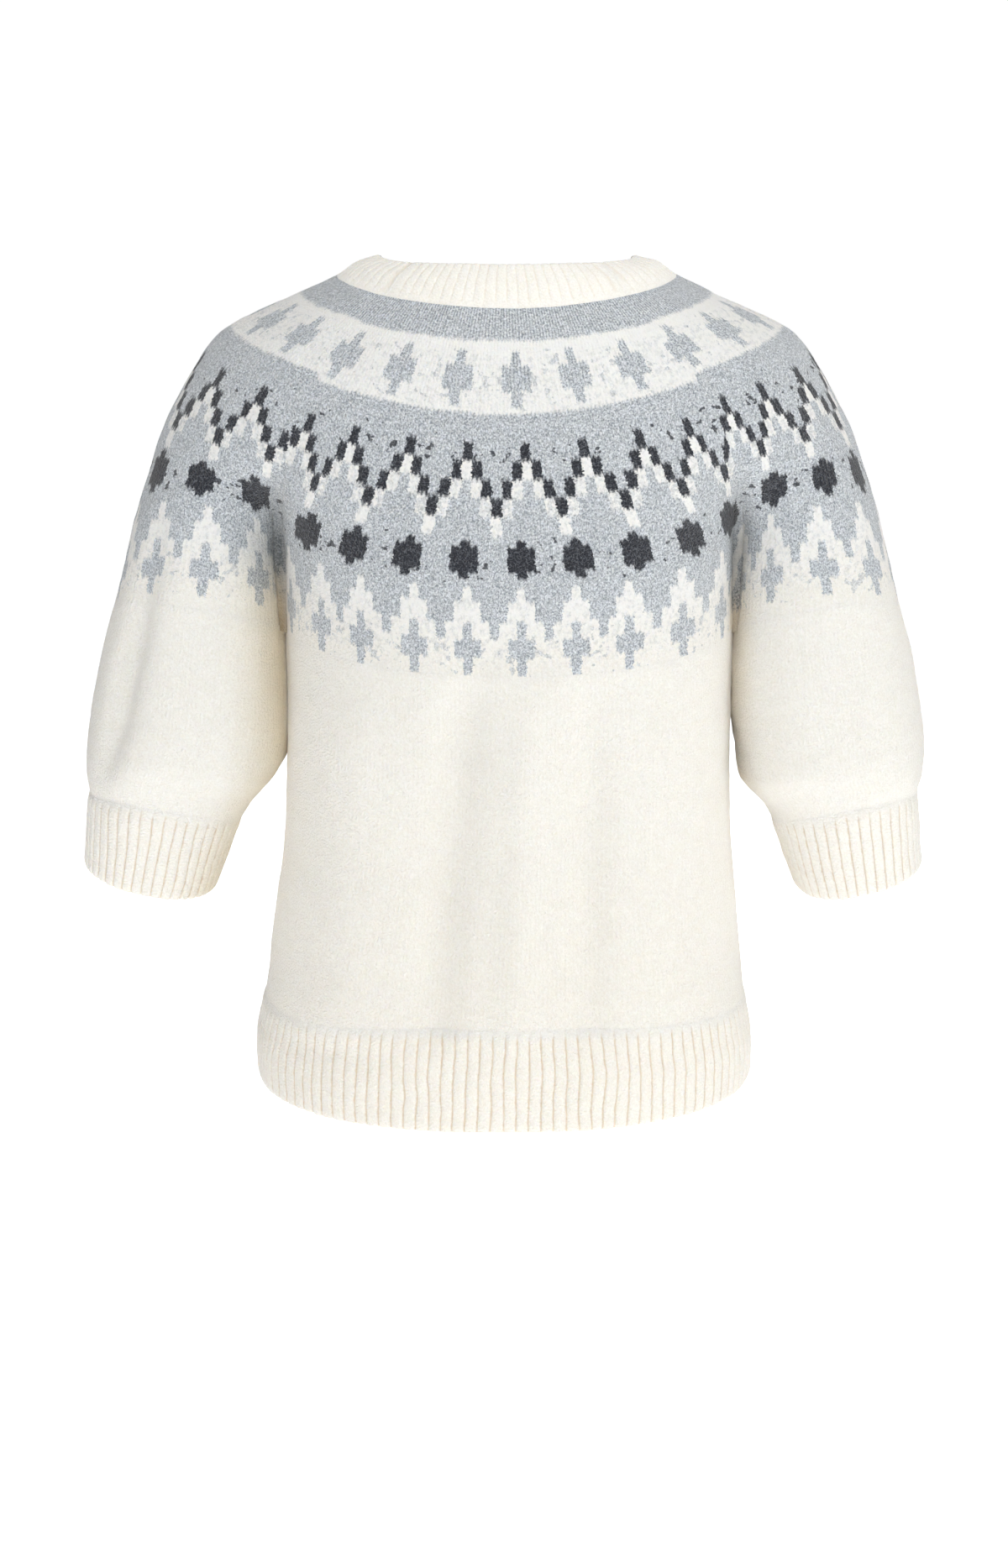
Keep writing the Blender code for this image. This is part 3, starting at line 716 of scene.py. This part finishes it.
# The chart of the yoke in levels, with its blocks and how soft and uneven their edges are. A motif has a
# middle level and its half-heights, block by block from its middle column outwards.
BLOCKS_APART = 6
BLOCK_HEIGHT = 0.0494
STEP_BLUR = 0.06
EDGE_BLUR = 0.009
BLOCK_BLUR = 0.22
STITCH_SLOPE = 0.0128
EDGE_RAGGEDNESS = 0.011
EDGE_WANDER = 0.016
CREAM_BAND = (0.092, 0.290)
DIAMONDS_ROUND = 23
DIAMONDS_TURN = 0.165
DIAMONDS = (0.1956, (0.076, 0.034, -0.03))
ZIGZAG_LEVEL = 0.370
ZIGZAG_STEPS = (0, 1, 2, 3)
SPOTS = (0.681, (0.053, 0.035, -0.03))
FIR_LEVEL = 0.900
FIR_STEPS = (0.143, 0.103, 0.048, 0.0)
BERRIES = (0.926, (0.074, 0.025, -0.03))

# Where stitches of the carried yarns show through: how strong the noise is there, and the levels and reaches
# of the rounds that it is stronger in
DARK_STRAYS = (0.70, ((0.40, 0.055), (0.685, 0.065)))
GREY_STRAYS = (0.68, ((0.20, 0.09), (0.94, 0.07)))
STRAY_GAIN = 0.10
STRAY_BLUR = 0.04
STRAY_START = 0.02


def sum_of(operation, swapped=False):
    """The method that writes a node for an operation of a shade and another value."""

    def method(shade, other):
        return shade.finish.maths(operation, *((other, shade) if swapped else (shade, other)))

    return method


class Shade:
    """A number that varies over the cloth, which writes its sums as nodes."""

    def __init__(self, finish, socket):
        self.finish = finish
        self.socket = socket

    __add__ = sum_of("ADD")
    __radd__ = sum_of("ADD", swapped=True)
    __sub__ = sum_of("SUBTRACT")
    __rsub__ = sum_of("SUBTRACT", swapped=True)
    __mul__ = sum_of("MULTIPLY")
    __truediv__ = sum_of("DIVIDE")
    __gt__ = sum_of("GREATER_THAN")
    most = sum_of("MAXIMUM")

    def __abs__(self):
        return self.finish.maths("ABSOLUTE", self)

    def part(self):
        """What is left above the whole number below."""
        return self.finish.maths("FRACT", self)

    def past(self, edge, blur):
        """0 before an edge and 1 past it, over a width of blur."""
        return self.finish.maths("MULTIPLY_ADD", self - edge, 1 / blur, 0.5, clamp=True)

    def between(self, first, last, blur):
        """1 between two edges and 0 outside them."""
        return self.past(first, blur) * (1 - self.past(last, blur))


def set_inputs(node, values):
    """Give values to the inputs of a node by their names."""
    for name, value in values.items():
        node.inputs[name].default_value = value


class Finish:
    """A wool finish and the nodes that it is mixed from."""

    def __init__(self, name):
        self.material = bpy.data.materials.new(name)
        self.material.use_nodes = True
        self.tree = self.material.node_tree
        self.shader = self.tree.nodes["Principled BSDF"]
        self.places = self.node("ShaderNodeTexCoord", {}, {}, output="Object")

    def node(self, kind, settings, sockets, output=0):
        """One of the outputs of a new node, with its settings and what goes into its sockets."""
        node = self.tree.nodes.new(kind)
        for name, value in settings.items():
            setattr(node, name, value)
        for name, value in sockets.items():
            if isinstance(value, Shade):
                self.tree.links.new(value.socket, node.inputs[name])
            else:
                node.inputs[name].default_value = value
        return Shade(self, node.outputs[output])

    def maths(self, operation, *values, clamp=False):
        """A sum of values, held between 0 and 1 where it is clamped."""
        settings = {"operation": operation, "use_clamp": clamp}
        return self.node("ShaderNodeMath", settings, dict(enumerate(values)))

    def mixed(self, first, second, share, blend="MIX"):
        """A colour between two colours."""
        first, second = (each if isinstance(each, Shade) else (*each, 1.0) for each in (first, second))
        settings = {"data_type": "RGBA", "blend_type": blend}
        return self.node("ShaderNodeMix", settings, {0: share, 6: first, 7: second}, output=2)

    def cloud(self, size, detail=2.0, roughness=0.5, stretch=(1, 1, 1), moved=(0, 0, 0)):
        """Smooth noise about 0.5 with features of about the given size in metres."""
        sockets = {"Vector": self.places, "Location": moved, "Scale": stretch}
        places = self.node("ShaderNodeMapping", {}, sockets)
        sockets = {"Vector": places, "Scale": 1 / size, "Detail": detail, "Roughness": roughness}
        return self.node("ShaderNodeTexNoise", {}, sockets)

    def uv_map(self, name):
        """The two values of one of the piece's maps."""
        uv = self.node("ShaderNodeUVMap", {"uv_map": name}, {}, output="UV")
        return [self.node("ShaderNodeSeparateXYZ", {}, {"Vector": uv}, output=axis) for axis in "XY"]

    def use(self, colour, height, depth, yarns):
        """Put a colour and a relief on the shader, with the matt surface and nap of brushed wool."""
        bump = self.node("ShaderNodeBump", {}, {"Distance": depth, "Height": height})
        self.tree.links.new(colour.socket, self.shader.inputs["Base Color"])
        self.tree.links.new(bump.socket, self.shader.inputs["Normal"])
        values = {
            "Roughness": 0.95,
            "Specular IOR Level": 0.12,
            "Sheen Weight": yarns.nap,
            "Sheen Roughness": yarns.nap_roughness,
            "Sheen Tint": (*yarns.cream, 1.0),
            "Subsurface Weight": yarns.softness,
            "Subsurface Radius": (0.005, 0.0035, 0.002),
            "Subsurface Scale": 1.0,
        }
        set_inputs(self.shader, values)
        return self.material


def fibres(finish):
    """The fibres of brushed wool: how light each short curl is, the light hairs across them, and the small
    soft lumps, as wide as a stitch, that brushing leaves."""
    curls = finish.cloud(CURL_SIZE, roughness=0.65, stretch=(1, 1, 0.65))
    hairs = finish.cloud(HAIR_SIZE, detail=1.5, roughness=0.6, moved=(0.3, 0.1, 0.2))
    lumps = finish.cloud(LUMP_SIZE, roughness=0.6, moved=(0.6, 0.5, 0.4))
    return (curls - 0.5) * 3.6, finish.maths("SUBTRACT", 1.0, abs(hairs - 0.5) * 20.0, clamp=True), lumps


def with_painted_shade(finish, colour, yarns):
    """Painted warm shade down the inside of the sleeves, beside the body."""
    return finish.mixed(colour, yarns.painted_arm_shade, finish.uv_map("shelter")[0], "MULTIPLY")


def cream_wool(finish, yarns, curl, lumps, stitch):
    """Cream wool with a random mottle, lighter on its lumps and stitches and a little darker between them:
    painted shade of its relief.
    """
    mottle = finish.cloud(MOTTLE_SIZE, detail=3.0)
    light = (mottle - 0.5) * 0.35 + (lumps - 0.5) * 1.5 + curl * 0.30 + stitch * 0.25
    light = finish.maths("ADD", light, MIDDLE_TONE, clamp=True)
    return finish.mixed(yarns.cream_shade, yarns.cream_light, light)


def knit_relief(lumps, curl, hair, stitch):
    """The height of felted knit: its lumps and curls over the rows and columns of stitches."""
    return lumps + curl * 0.16 + hair * 0.06 + stitch * 0.32


def knit_stitch(leg, row):
    """How raised each stitch is between its neighbours beside it and above it."""
    return (0.5 - leg) * 0.9 + (0.5 - abs(row - 0.5)) * 0.35


def plain_finish(name, yarns):
    """Brushed cream knit, with faint wales and a soft felted relief."""
    finish = Finish(name)
    curl, hair, lumps = fibres(finish)
    across, down = finish.uv_map("stitches")
    wander = finish.cloud(PLAIN_WANDER_SIZE, detail=1.0, moved=(0.4, 0.2, 0.7)) - 0.5
    leg = abs((across / WALE_WIDTH + wander * 0.9).part() - 0.5)
    stitch = knit_stitch(leg, (down / COURSE_HEIGHT + leg * 1.3 + wander * 0.8).part())
    colour = with_painted_shade(finish, cream_wool(finish, yarns, curl, lumps, stitch), yarns)
    return finish.use(colour, knit_relief(lumps, curl, hair, stitch), PLAIN_RELIEF, yarns)


def rib_finish(name, yarns):
    """Brushed cream rib with painted warm shade down in its narrow valleys, which start a little way below
    its seam.
    """
    finish = Finish(name)
    curl, hair, lumps = fibres(finish)
    across, down = finish.uv_map("stitches")
    packed = finish.uv_map("shelter")[1]
    wander = finish.cloud(RIB_WANDER_SIZE, detail=1.5, moved=(0.4, 0.2, 0.7)) - 0.5
    away = abs((across + wander * 0.10 + 0.5).part() - 0.5)
    # painted warm shade down in the valleys between ribs, starting a little below the seam
    valley_shade = 1 - away.past(0.05 + wander * 0.10, 0.12)
    begun = (down + wander * 0.006).past(0.0045, 0.005)
    row = (down / COURSE_HEIGHT + away * 1.6 + wander * 0.8).part()
    stitch = 0.5 - abs(row - 0.5)
    colour = cream_wool(finish, yarns, curl, lumps, stitch)
    colour = finish.mixed(colour, yarns.valley_shade, valley_shade * begun * (1 - packed) * 0.85)
    colour = with_painted_shade(finish, colour, yarns)
    relief = knit_relief(lumps, curl, hair, stitch) * (1 - packed * 0.6)
    return finish.use(colour, relief, RIB_RELIEF, yarns)


def blocks_away(count, wander, ragged):
    """How many blocks a place lies from the middle column of its motif, up to half way to the next one."""
    moved = (wander * 0.5 + ragged * 0.75) / BLOCKS_APART
    return abs((count + moved + 0.5).part() - 0.5) * BLOCKS_APART


def stepped(away, halves):
    """A half-height that steps down block by block from a motif's middle column outwards."""
    steps = halves[0]
    for block, (inner, outer) in enumerate(zip(halves, halves[1:])):
        steps = steps - away.past(block + 0.5, STEP_BLUR) * (inner - outer)
    return steps


def motif(away, sloped, middle, halves):
    """A round's motifs, which step down from their middle columns and lie about a middle level."""
    return (stepped(away, halves) - abs(sloped - middle)).past(0, EDGE_BLUR)


def strayed(specks, level, threshold, rounds):
    """Where stitches of the yarn that is carried behind show through, near some levels."""
    near = 0
    for middle, reach in rounds:
        near = (1 - abs(level - middle) / reach).most(near)
    return (specks + near * STRAY_GAIN).past(threshold, STRAY_BLUR) * (near > STRAY_START)


def patterned_finish(name, yarns):
    """Stranded colourwork of the yoke in heather grey, cream and charcoal, on rounds of blocks."""
    finish = Finish(name)
    curl, hair, lumps = fibres(finish)
    share, level = finish.uv_map("stitches")
    zigzag, dots = finish.uv_map("upper_rounds")
    trees = finish.uv_map("lower_rounds")[0]
    ragged = finish.cloud(LUMP_SIZE, detail=2.5, roughness=0.7, moved=(0.7, 0.4, 0.1)) - 0.5
    wander = finish.cloud(CHART_WANDER_SIZE, detail=1.5, moved=(0.2, 0.9, 0.5)) - 0.5
    leg = abs((share * WALES_ROUND).part() - 0.5)
    sloped = level + (leg - 0.25) * STITCH_SLOPE + ragged * EDGE_RAGGEDNESS + wander * EDGE_WANDER

    band = sloped.between(*CREAM_BAND, EDGE_BLUR)
    away = blocks_away(share * DIAMONDS_ROUND - DIAMONDS_TURN, wander, ragged)
    diamonds = motif(away, sloped, *DIAMONDS)

    away = blocks_away(zigzag, wander, ragged)
    row = (sloped - ZIGZAG_LEVEL) / BLOCK_HEIGHT - stepped(away, ZIGZAG_STEPS) + ragged * 0.35
    peaks = row.between(0, 1, BLOCK_BLUR)
    flank = away.between(0.5, 2.5, STEP_BLUR) * (away * 0.25)
    heather = (finish.cloud(FLANK_SIZE, detail=1.0) + 0.02).past(0.5, 0.1)
    snow = row.between(1, 2, BLOCK_BLUR) * (1 - flank * heather)

    spots = motif(blocks_away(dots, wander, ragged), sloped, *SPOTS)
    away = blocks_away(trees, wander, ragged)
    firs = (sloped + stepped(away, FIR_STEPS)).past(FIR_LEVEL, EDGE_BLUR)
    berries = motif(away, sloped, *BERRIES)

    specks = finish.cloud(SPECK_SIZE, detail=2.5, roughness=0.62, moved=(0.5, 0.8, 0.2))
    dark_show = strayed(specks, level, *DARK_STRAYS)
    grey_show = strayed(specks, level, *GREY_STRAYS)
    heathered = finish.cloud(HEATHER_SIZE, moved=(0.1, 0.6, 0.3)).past(0.56, 0.16)
    heathered = heathered * 0.28 * (level > 0.13) * (1 - level.past(0.97, 0.05))

    cream = (band * (1 - diamonds)).most(snow).most(firs * (1 - berries))
    cream = cream * (1 - grey_show * 0.6) * (1 - heathered)
    charcoal = peaks.most(spots).most(dark_show * (1 - cream) * 0.9)

    stitch = knit_stitch(leg, (level * ROWS_PER_LEVEL + leg * 1.2 + wander * 0.5).part())
    columns = (leg - 0.25) * (1 - level.past(0.15, 0.3))
    tone = curl * 0.68 + (lumps - 0.5) * 1.9 + hair * 0.20 - columns * 1.3
    grey = finish.maths("ADD", tone, MIDDLE_TONE, clamp=True)
    grey = finish.mixed(yarns.grey_shade, yarns.grey_light, grey)
    dark = finish.maths("ADD", curl * 0.26 + hair * 0.45, 0.0, clamp=True)
    dark = finish.mixed(yarns.charcoal_shade, yarns.charcoal_light, dark)
    white = cream_wool(finish, yarns, curl, lumps, stitch - columns)
    white = finish.mixed(white, yarns.snow, (1 - level.past(0.9, 0.16)) * 0.6)
    colour = finish.mixed(grey, white, cream)
    colour = finish.mixed(colour, dark, charcoal)
    # painted shade beside and down in the armpit's crease: grey beside it, warm towards the lower edge of the
    # yoke, darker down in it
    tint = finish.mixed(yarns.crease, yarns.painted_arm_shade, level.past(0.92, 0.14))
    painted_arm_shade, crease_shade = finish.uv_map("shelter")
    colour = finish.mixed(colour, tint, painted_arm_shade, "MULTIPLY")
    colour = finish.mixed(colour, yarns.fold, crease_shade, "MULTIPLY")
    return finish.use(colour, knit_relief(lumps, curl, hair, stitch * 1.6), CHART_RELIEF, yarns)


FINISHES = {
    "cream_wool": ("brushed_cream_knit", plain_finish),
    "rib_wool": ("brushed_cream_rib", rib_finish),
    "patterned_wool": ("brushed_colourwork", patterned_finish),
}


# ---------------------------------------------------------------- sizes and colours


def number(name, text, default, **limits):
    """A number among the settings."""
    return FloatProperty(name=name, description=text, default=default, **limits)


def yarn_colour(name, text, *colour):
    """A colour among the settings."""
    return FloatVectorProperty(name=name, description=text, subtype="COLOR", default=colour)


class SweaterCloth(bpy.types.PropertyGroup):
    wall: number("Wall", "Thickness of the cloth", 0.0018, unit="LENGTH")
    rise: number("Rib height", "Height of a rib", 0.0013, unit="LENGTH")
    unevenness: number("Unevenness", "Depth of the soft unevenness", 0.0009, unit="LENGTH")
    waver: number("Rib waver", "How far the ribs waver, in ribs", 0.20)
    neck_ribs: IntProperty(name="Neck ribs", description="Ribs round the neckband", default=91, min=8)
    hem_ribs: IntProperty(name="Hem ribs", description="Ribs across each hem rib", default=58, min=8)
    cuff_ribs: IntProperty(name="Cuff ribs", description="Ribs round a cuff", default=44, min=8)


class SweaterYarns(bpy.types.PropertyGroup):
    cream: yarn_colour("Cream", "The nap of the cream yarn", 0.93, 0.90, 0.85)
    # the light and shaded ends of the cream's tone: a random mottle, with painted shade of the relief,
    # lighter on lumps and stitches and darker between them
    cream_light: yarn_colour("Light cream", "The lightest cream fibres", 0.95, 0.925, 0.875)
    cream_shade: yarn_colour("Shaded cream", "The cream between fibres", 0.83, 0.79, 0.715)
    snow: yarn_colour("Snow", "The whiter cream of the colourwork", 0.90, 0.90, 0.89)
    # painted warm shade down the insides of the sleeves and cuffs and at the bottom of the yoke's crease
    painted_arm_shade: yarn_colour("Sheltered", "Warm tint inside the sleeves", 0.93, 0.83, 0.66)
    # painted shade beside and down in the armpit's crease
    crease: yarn_colour("Crease", "Shade beside the armpit crease", 0.48, 0.51, 0.53)
    fold: yarn_colour("Fold", "Shade down in the armpit crease", 0.42, 0.38, 0.32)
    # painted warm shade down in the valleys between ribs
    valley_shade: yarn_colour("Rib valley", "The warm tone down between ribs", 0.70, 0.58, 0.44)
    grey_light: yarn_colour("Light grey", "The light heather fibres", 0.80, 0.83, 0.86)
    grey_shade: yarn_colour("Shaded grey", "The dark heather fibres", 0.26, 0.29, 0.32)
    charcoal_light: yarn_colour("Light charcoal", "The light charcoal fibres", 0.22, 0.24, 0.27)
    charcoal_shade: yarn_colour("Dark charcoal", "The dark charcoal fibres", 0.012, 0.015, 0.024)
    softness: number("Softness", "How much light passes under the nap", 0.25, min=0, max=1)
    nap: number("Nap", "How much the nap catches light", 0.25, min=0, max=1)
    nap_roughness: number("Nap roughness", "How softly the nap catches light", 0.6, min=0, max=1)


class SweaterStage(bpy.types.PropertyGroup):
    floor_drop: number("Floor", "Height of the floor, as if the sweater is worn", -1.25, unit="LENGTH")
    floor_size: number("Floor size", "Side of the floor", 240.0, unit="LENGTH")
    sky: number("Room light", "Strength of the light of the room", 0.03)
    right: number("Right light", "Power of the soft light at the right", 20.4)
    left: number("Left light", "Power of the soft light at the left", 16.0)
    behind: number("Back light", "Power of the soft light behind", 30.0)
    front: number("Front light", "Power of the soft light in front", 28.8)
    top: number("Top light", "Power of the soft light overhead", 66.0)
    distance: number("Distance", "Camera to sweater", 2.3, unit="LENGTH")
    pitch: number("Pitch", "How far the camera looks down", math.radians(15), subtype="ANGLE")
    lens: number("Lens", "Focal length in millimetres", 76.47)


# ---------------------------------------------------------------- pieces


def wool(context, slot):
    """The finish of a slot, mixed once."""
    name, recipe = FINISHES[slot]
    return bpy.data.materials.get(name) or recipe(name, context.scene.sweater_yarns)


def knit(context, node, slot, grid, closed, hand, maps):
    """Knit one piece of cloth, attach it to the body and hide the solid that it stands for."""
    name = node.removesuffix("_rib") + "_knit"
    wall = context.scene.sweater_cloth.wall
    piece = knit_sheet(name, grid, closed, hand, maps, wall, wool(context, slot))
    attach(piece, BODY)
    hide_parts(node)


def knit_plain(context, node, points, stations, rows, closed, hand):
    """Knit a plain piece from the yoke down, with its last row under the rib."""
    levels = np.append(np.linspace(1, 2, rows + 1), 2 + RIB_TUCK)
    grid = np.stack([points(stations, level) for level in levels])
    grid = tucked(uneven(grid, closed, hand, context.scene.sweater_cloth.unevenness), closed, hand)
    maps = {
        "stitches": (lengths_round(grid, closed), lengths_down(grid)[:, None]),
        # painted shade down the insides of the sleeves, none on the body panels
        "shelter": (shelter(grid) if closed else 0.0, 0.0),
    }
    knit(context, node, "cream_wool", grid, closed, hand, maps)


def knit_rib(context, node, points, span, ribs, rows, closed, hand, straightness):
    """Knit a rib down to its free edge, over a span of stations."""
    cloth = context.scene.sweater_cloth
    bases = even_stations(points, RIB_MIDDLE, *span, ribs)
    levels = np.linspace(2, 3, rows + 1)
    waver = cloth.waver * straightness
    grid, phases, down = ribbed_grid(points, bases, levels, closed, hand, cloth, cloth.rise, waver)
    # painted shade down the insides of the cuffs, none on the hems
    maps = {"stitches": (phases, down), "shelter": (shelter(grid) if closed else 0.0, 0.0)}
    knit(context, node, "rib_wool", grid, closed, hand, maps)


class SWEATER_OT_neckband(bpy.types.Operator):
    """Knit the ribbed neckband, linked to the top of the yoke and rolled at its free edge"""

    bl_idname = "sweater.neckband"
    bl_label = "Neckband"

    def execute(self, context):
        cloth = context.scene.sweater_cloth
        levels = np.append(np.linspace(-1, 0, NECK_ROWS + 1), NECK_TUCK)
        bases = even_stations(yoke_points, NECK_MIDDLE, 0.0, 12.0, cloth.neck_ribs)
        rise, waver = cloth.rise * NECK_RISE, cloth.waver * NECK_WAVER
        grid, phases, down = ribbed_grid(yoke_points, bases, levels, True, 1, cloth, rise, waver, True)
        # no painted shade on the neckband: the second value there is how tightly its ribs are packed
        maps = {"stitches": (phases, down), "shelter": (0.0, NECK_PACKED)}
        knit(context, "neckband", "rib_wool", tucked(grid, True, 1), True, 1, maps)
        return {"FINISHED"}


class SWEATER_OT_yoke(bpy.types.Operator):
    """Knit the round yoke in one piece, with its rings of colourwork"""

    bl_idname = "sweater.yoke"
    bl_label = "Yoke"

    def execute(self, context):
        crease = 1 + np.arange(1, CREASE_COLUMNS) / CREASE_COLUMNS
        over_body = crowded(0.0, 1.0, YOKE_BODY_ARC, True)
        over_arm = crowded(2.0, 3.0, YOKE_ARM_ARC, False)
        half = mirrored(np.concatenate([over_body, crease, over_arm]), 3.0, 6.0)
        stations = mirrored(half, 6.0, 12.0)[:-1]
        levels = np.linspace(0, 1, YOKE_ROWS + 1)
        grid = np.stack([yoke_points(stations, level) for level in levels] + [below_yoke(stations)])
        grid = tucked(uneven(grid, True, 1, context.scene.sweater_cloth.unevenness), True, 1)
        levels = np.append(levels, 1 + BODY_TUCK)
        side, front, place = quarter(stations)
        share = side * 0.25 * ring_share(place)
        share = np.where(front, side * 0.5 - share, share)
        # the maps are cut at the centre back, so that their values rise all the way round
        share = np.append(np.where(side < 0, share + 1, share), 1.0)
        place, side = np.append(place, 0.0), np.append(side, 1)
        maps = {
            "stitches": (share, np.stack([chart_level(place, level) for level in levels])),
            # painted shade beside the arms and down in the armpit's crease
            "shelter": (shelter(grid), np.stack([painted_crease_shade(place, side, level) for level in levels])),
            "upper_rounds": (motifs_along("zigzag", share), motifs_along("dots", share)),
            "lower_rounds": (motifs_along("trees", share), 0.0),
        }
        knit(context, "yoke", "patterned_wool", grid, True, 1, maps)
        return {"FINISHED"}


class SWEATER_OT_panels(bpy.types.Operator):
    """Knit the back and the front of the body, with their soft upright folds"""

    bl_idname = "sweater.panels"
    bl_label = "Body Panels"

    def execute(self, context):
        side_strip = 1 + 2 * np.arange(1, PANEL_SIDE + 1) / PANEL_SIDE
        right = np.concatenate([crowded(0.0, 1.0, PANEL_ARC, True), side_strip])
        stations = np.concatenate([-right[:0:-1], right])
        for face, centre in FACES:
            node = f"{face}_panel"
            around = centre + stations
            knit_plain(context, node, torso_points, around, PANEL_ROWS, False, 1)
        return {"FINISHED"}


class SWEATER_OT_hem(bpy.types.Operator):
    """Knit the deep hem ribs under the back and the front"""

    bl_idname = "sweater.hem"
    bl_label = "Hem Ribs"

    def execute(self, context):
        ribs = context.scene.sweater_cloth.hem_ribs
        for face, centre in FACES:
            span = (centre - 3, centre + 3)
            knit_rib(context, f"{face}_hem_rib", torso_points, span, ribs, HEM_ROWS, False, 1, 1.0)
        return {"FINISHED"}


class SWEATER_OT_sleeves(bpy.types.Operator):
    """Knit the two balloon sleeves"""

    bl_idname = "sweater.sleeves"
    bl_label = "Sleeves"

    def execute(self, context):
        under = 4 + 2 * np.arange(1, SLEEVE_UNDERARM) / SLEEVE_UNDERARM
        stations = np.concatenate([mirrored(crowded(2.0, 3.0, SLEEVE_ARC, False), 3.0, 6.0), under])
        for side, word in SIDES:
            node, points = f"{word}_sleeve", sleeve_points(side)
            knit_plain(context, node, points, stations, SLEEVE_ROWS, True, side)
        return {"FINISHED"}


class SWEATER_OT_cuffs(bpy.types.Operator):
    """Knit the ribbed cuffs"""

    bl_idname = "sweater.cuffs"
    bl_label = "Cuffs"

    def execute(self, context):
        ribs = context.scene.sweater_cloth.cuff_ribs
        for side, word in SIDES:
            node, points = f"{word}_cuff", sleeve_points(side)
            knit_rib(context, node, points, (2.0, 6.0), ribs, CUFF_ROWS, True, side, CUFF_WAVER)
        return {"FINISHED"}


WHITE = (1.0, 1.0, 1.0)
FLOOR_COLOUR = (0.92, 0.92, 0.92)
SENSOR_WIDTH = 36
LAMP_TARGET = (0.0, 0.0, -0.28)
CAMERA_TARGET = (-0.0017, 0.0, -0.352)

# The lamps of the studio, whose powers are among the settings: where each stands, its size and its colour
LAMPS = {
    "right": ((2.6, -1.2, 0.3), 2.0, (1.0, 0.99, 0.975)),
    "left": ((-2.2, -2.9, 0.4), 2.6, WHITE),
    "front": ((0.3, -3.6, 0.4), 2.6, WHITE),
    "behind": ((0.6, 3.4, 0.7), 2.6, WHITE),
    "top": ((0.2, -0.5, 2.6), 2.0, WHITE),
}


def soft_light(name, place, size, power, colour):
    """A big square lamp that faces the sweater."""
    lamp = bpy.data.lights.new(name, "AREA")
    lamp.shape = "SQUARE"
    lamp.size = size
    lamp.energy = power
    lamp.color = colour
    holder = bpy.data.objects.new(name, lamp)
    holder.location = place
    holder.rotation_euler = (Vector(LAMP_TARGET) - Vector(place)).to_track_quat("-Z", "Y").to_euler()
    bpy.context.scene.collection.objects.link(holder)


class SWEATER_OT_stage(bpy.types.Operator):
    """Set the floor, the studio light and the camera"""

    bl_idname = "sweater.stage"
    bl_label = "Stage"

    def execute(self, context):
        stage = context.scene.sweater_stage
        bpy.ops.object.select_all(action="DESELECT")
        bpy.ops.mesh.primitive_plane_add(size=stage.floor_size, location=(0, 0, stage.floor_drop))
        floor = context.object
        floor.name = "floor"
        paint = bpy.data.materials.new("pale_floor")
        paint.use_nodes = True
        values = {
            "Base Color": (*FLOOR_COLOUR, 1),
            "Roughness": 0.9,
            "Specular IOR Level": 0.0,
            "Emission Color": (*WHITE, 1),
            "Emission Strength": 1.0,
        }
        set_inputs(paint.node_tree.nodes["Principled BSDF"], values)
        floor.data.materials.append(paint)

        world = context.scene.world or bpy.data.worlds.new("room")
        context.scene.world = world
        world.use_nodes = True
        set_inputs(world.node_tree.nodes["Background"], {"Color": (*WHITE, 1), "Strength": stage.sky})
        context.scene.view_settings.view_transform = "Standard"
        for name, (place, size, colour) in LAMPS.items():
            soft_light(name, place, size, getattr(stage, name), colour)

        camera = bpy.data.cameras.new("camera")
        camera.lens = stage.lens
        camera.sensor_width = SENSOR_WIDTH
        holder = bpy.data.objects.new("camera", camera)
        away = Vector((0, -math.cos(stage.pitch), math.sin(stage.pitch))) * stage.distance
        holder.location = Vector(CAMERA_TARGET) + away
        holder.rotation_euler = (math.pi / 2 - stage.pitch, 0, 0)
        context.scene.collection.objects.link(holder)
        context.scene.camera = holder
        return {"FINISHED"}


OPERATORS = (
    SWEATER_OT_neckband,
    SWEATER_OT_yoke,
    SWEATER_OT_panels,
    SWEATER_OT_hem,
    SWEATER_OT_sleeves,
    SWEATER_OT_cuffs,
    SWEATER_OT_stage,
)


class SWEATER_PT_pieces(bpy.types.Panel):
    bl_label = "Yoke Sweater"
    bl_idname = "SWEATER_PT_pieces"
    bl_space_type = "VIEW_3D"
    bl_region_type = "UI"
    bl_category = "Sweater"

    def draw(self, context):
        for operator in OPERATORS:
            self.layout.operator(operator.bl_idname)
        for group in (context.scene.sweater_cloth, context.scene.sweater_yarns, context.scene.sweater_stage):
            box = self.layout.box()
            for name in group.bl_rna.properties.keys():
                if name not in ("rna_type", "name"):
                    box.prop(group, name)


CLASSES = (SweaterCloth, SweaterYarns, SweaterStage, *OPERATORS, SWEATER_PT_pieces)


def register():
    for each in CLASSES:
        bpy.utils.register_class(each)
    bpy.types.Scene.sweater_cloth = PointerProperty(type=SweaterCloth)
    bpy.types.Scene.sweater_yarns = PointerProperty(type=SweaterYarns)
    bpy.types.Scene.sweater_stage = PointerProperty(type=SweaterStage)


def unregister():
    del bpy.types.Scene.sweater_cloth
    del bpy.types.Scene.sweater_yarns
    del bpy.types.Scene.sweater_stage
    for each in reversed(CLASSES):
        bpy.utils.unregister_class(each)


def main():
    register()
    bpy.ops.sweater.neckband()
    bpy.ops.sweater.yoke()
    bpy.ops.sweater.panels()
    bpy.ops.sweater.hem()
    bpy.ops.sweater.sleeves()
    bpy.ops.sweater.cuffs()
    bpy.ops.sweater.stage()


if __name__ == "__main__":
    main()
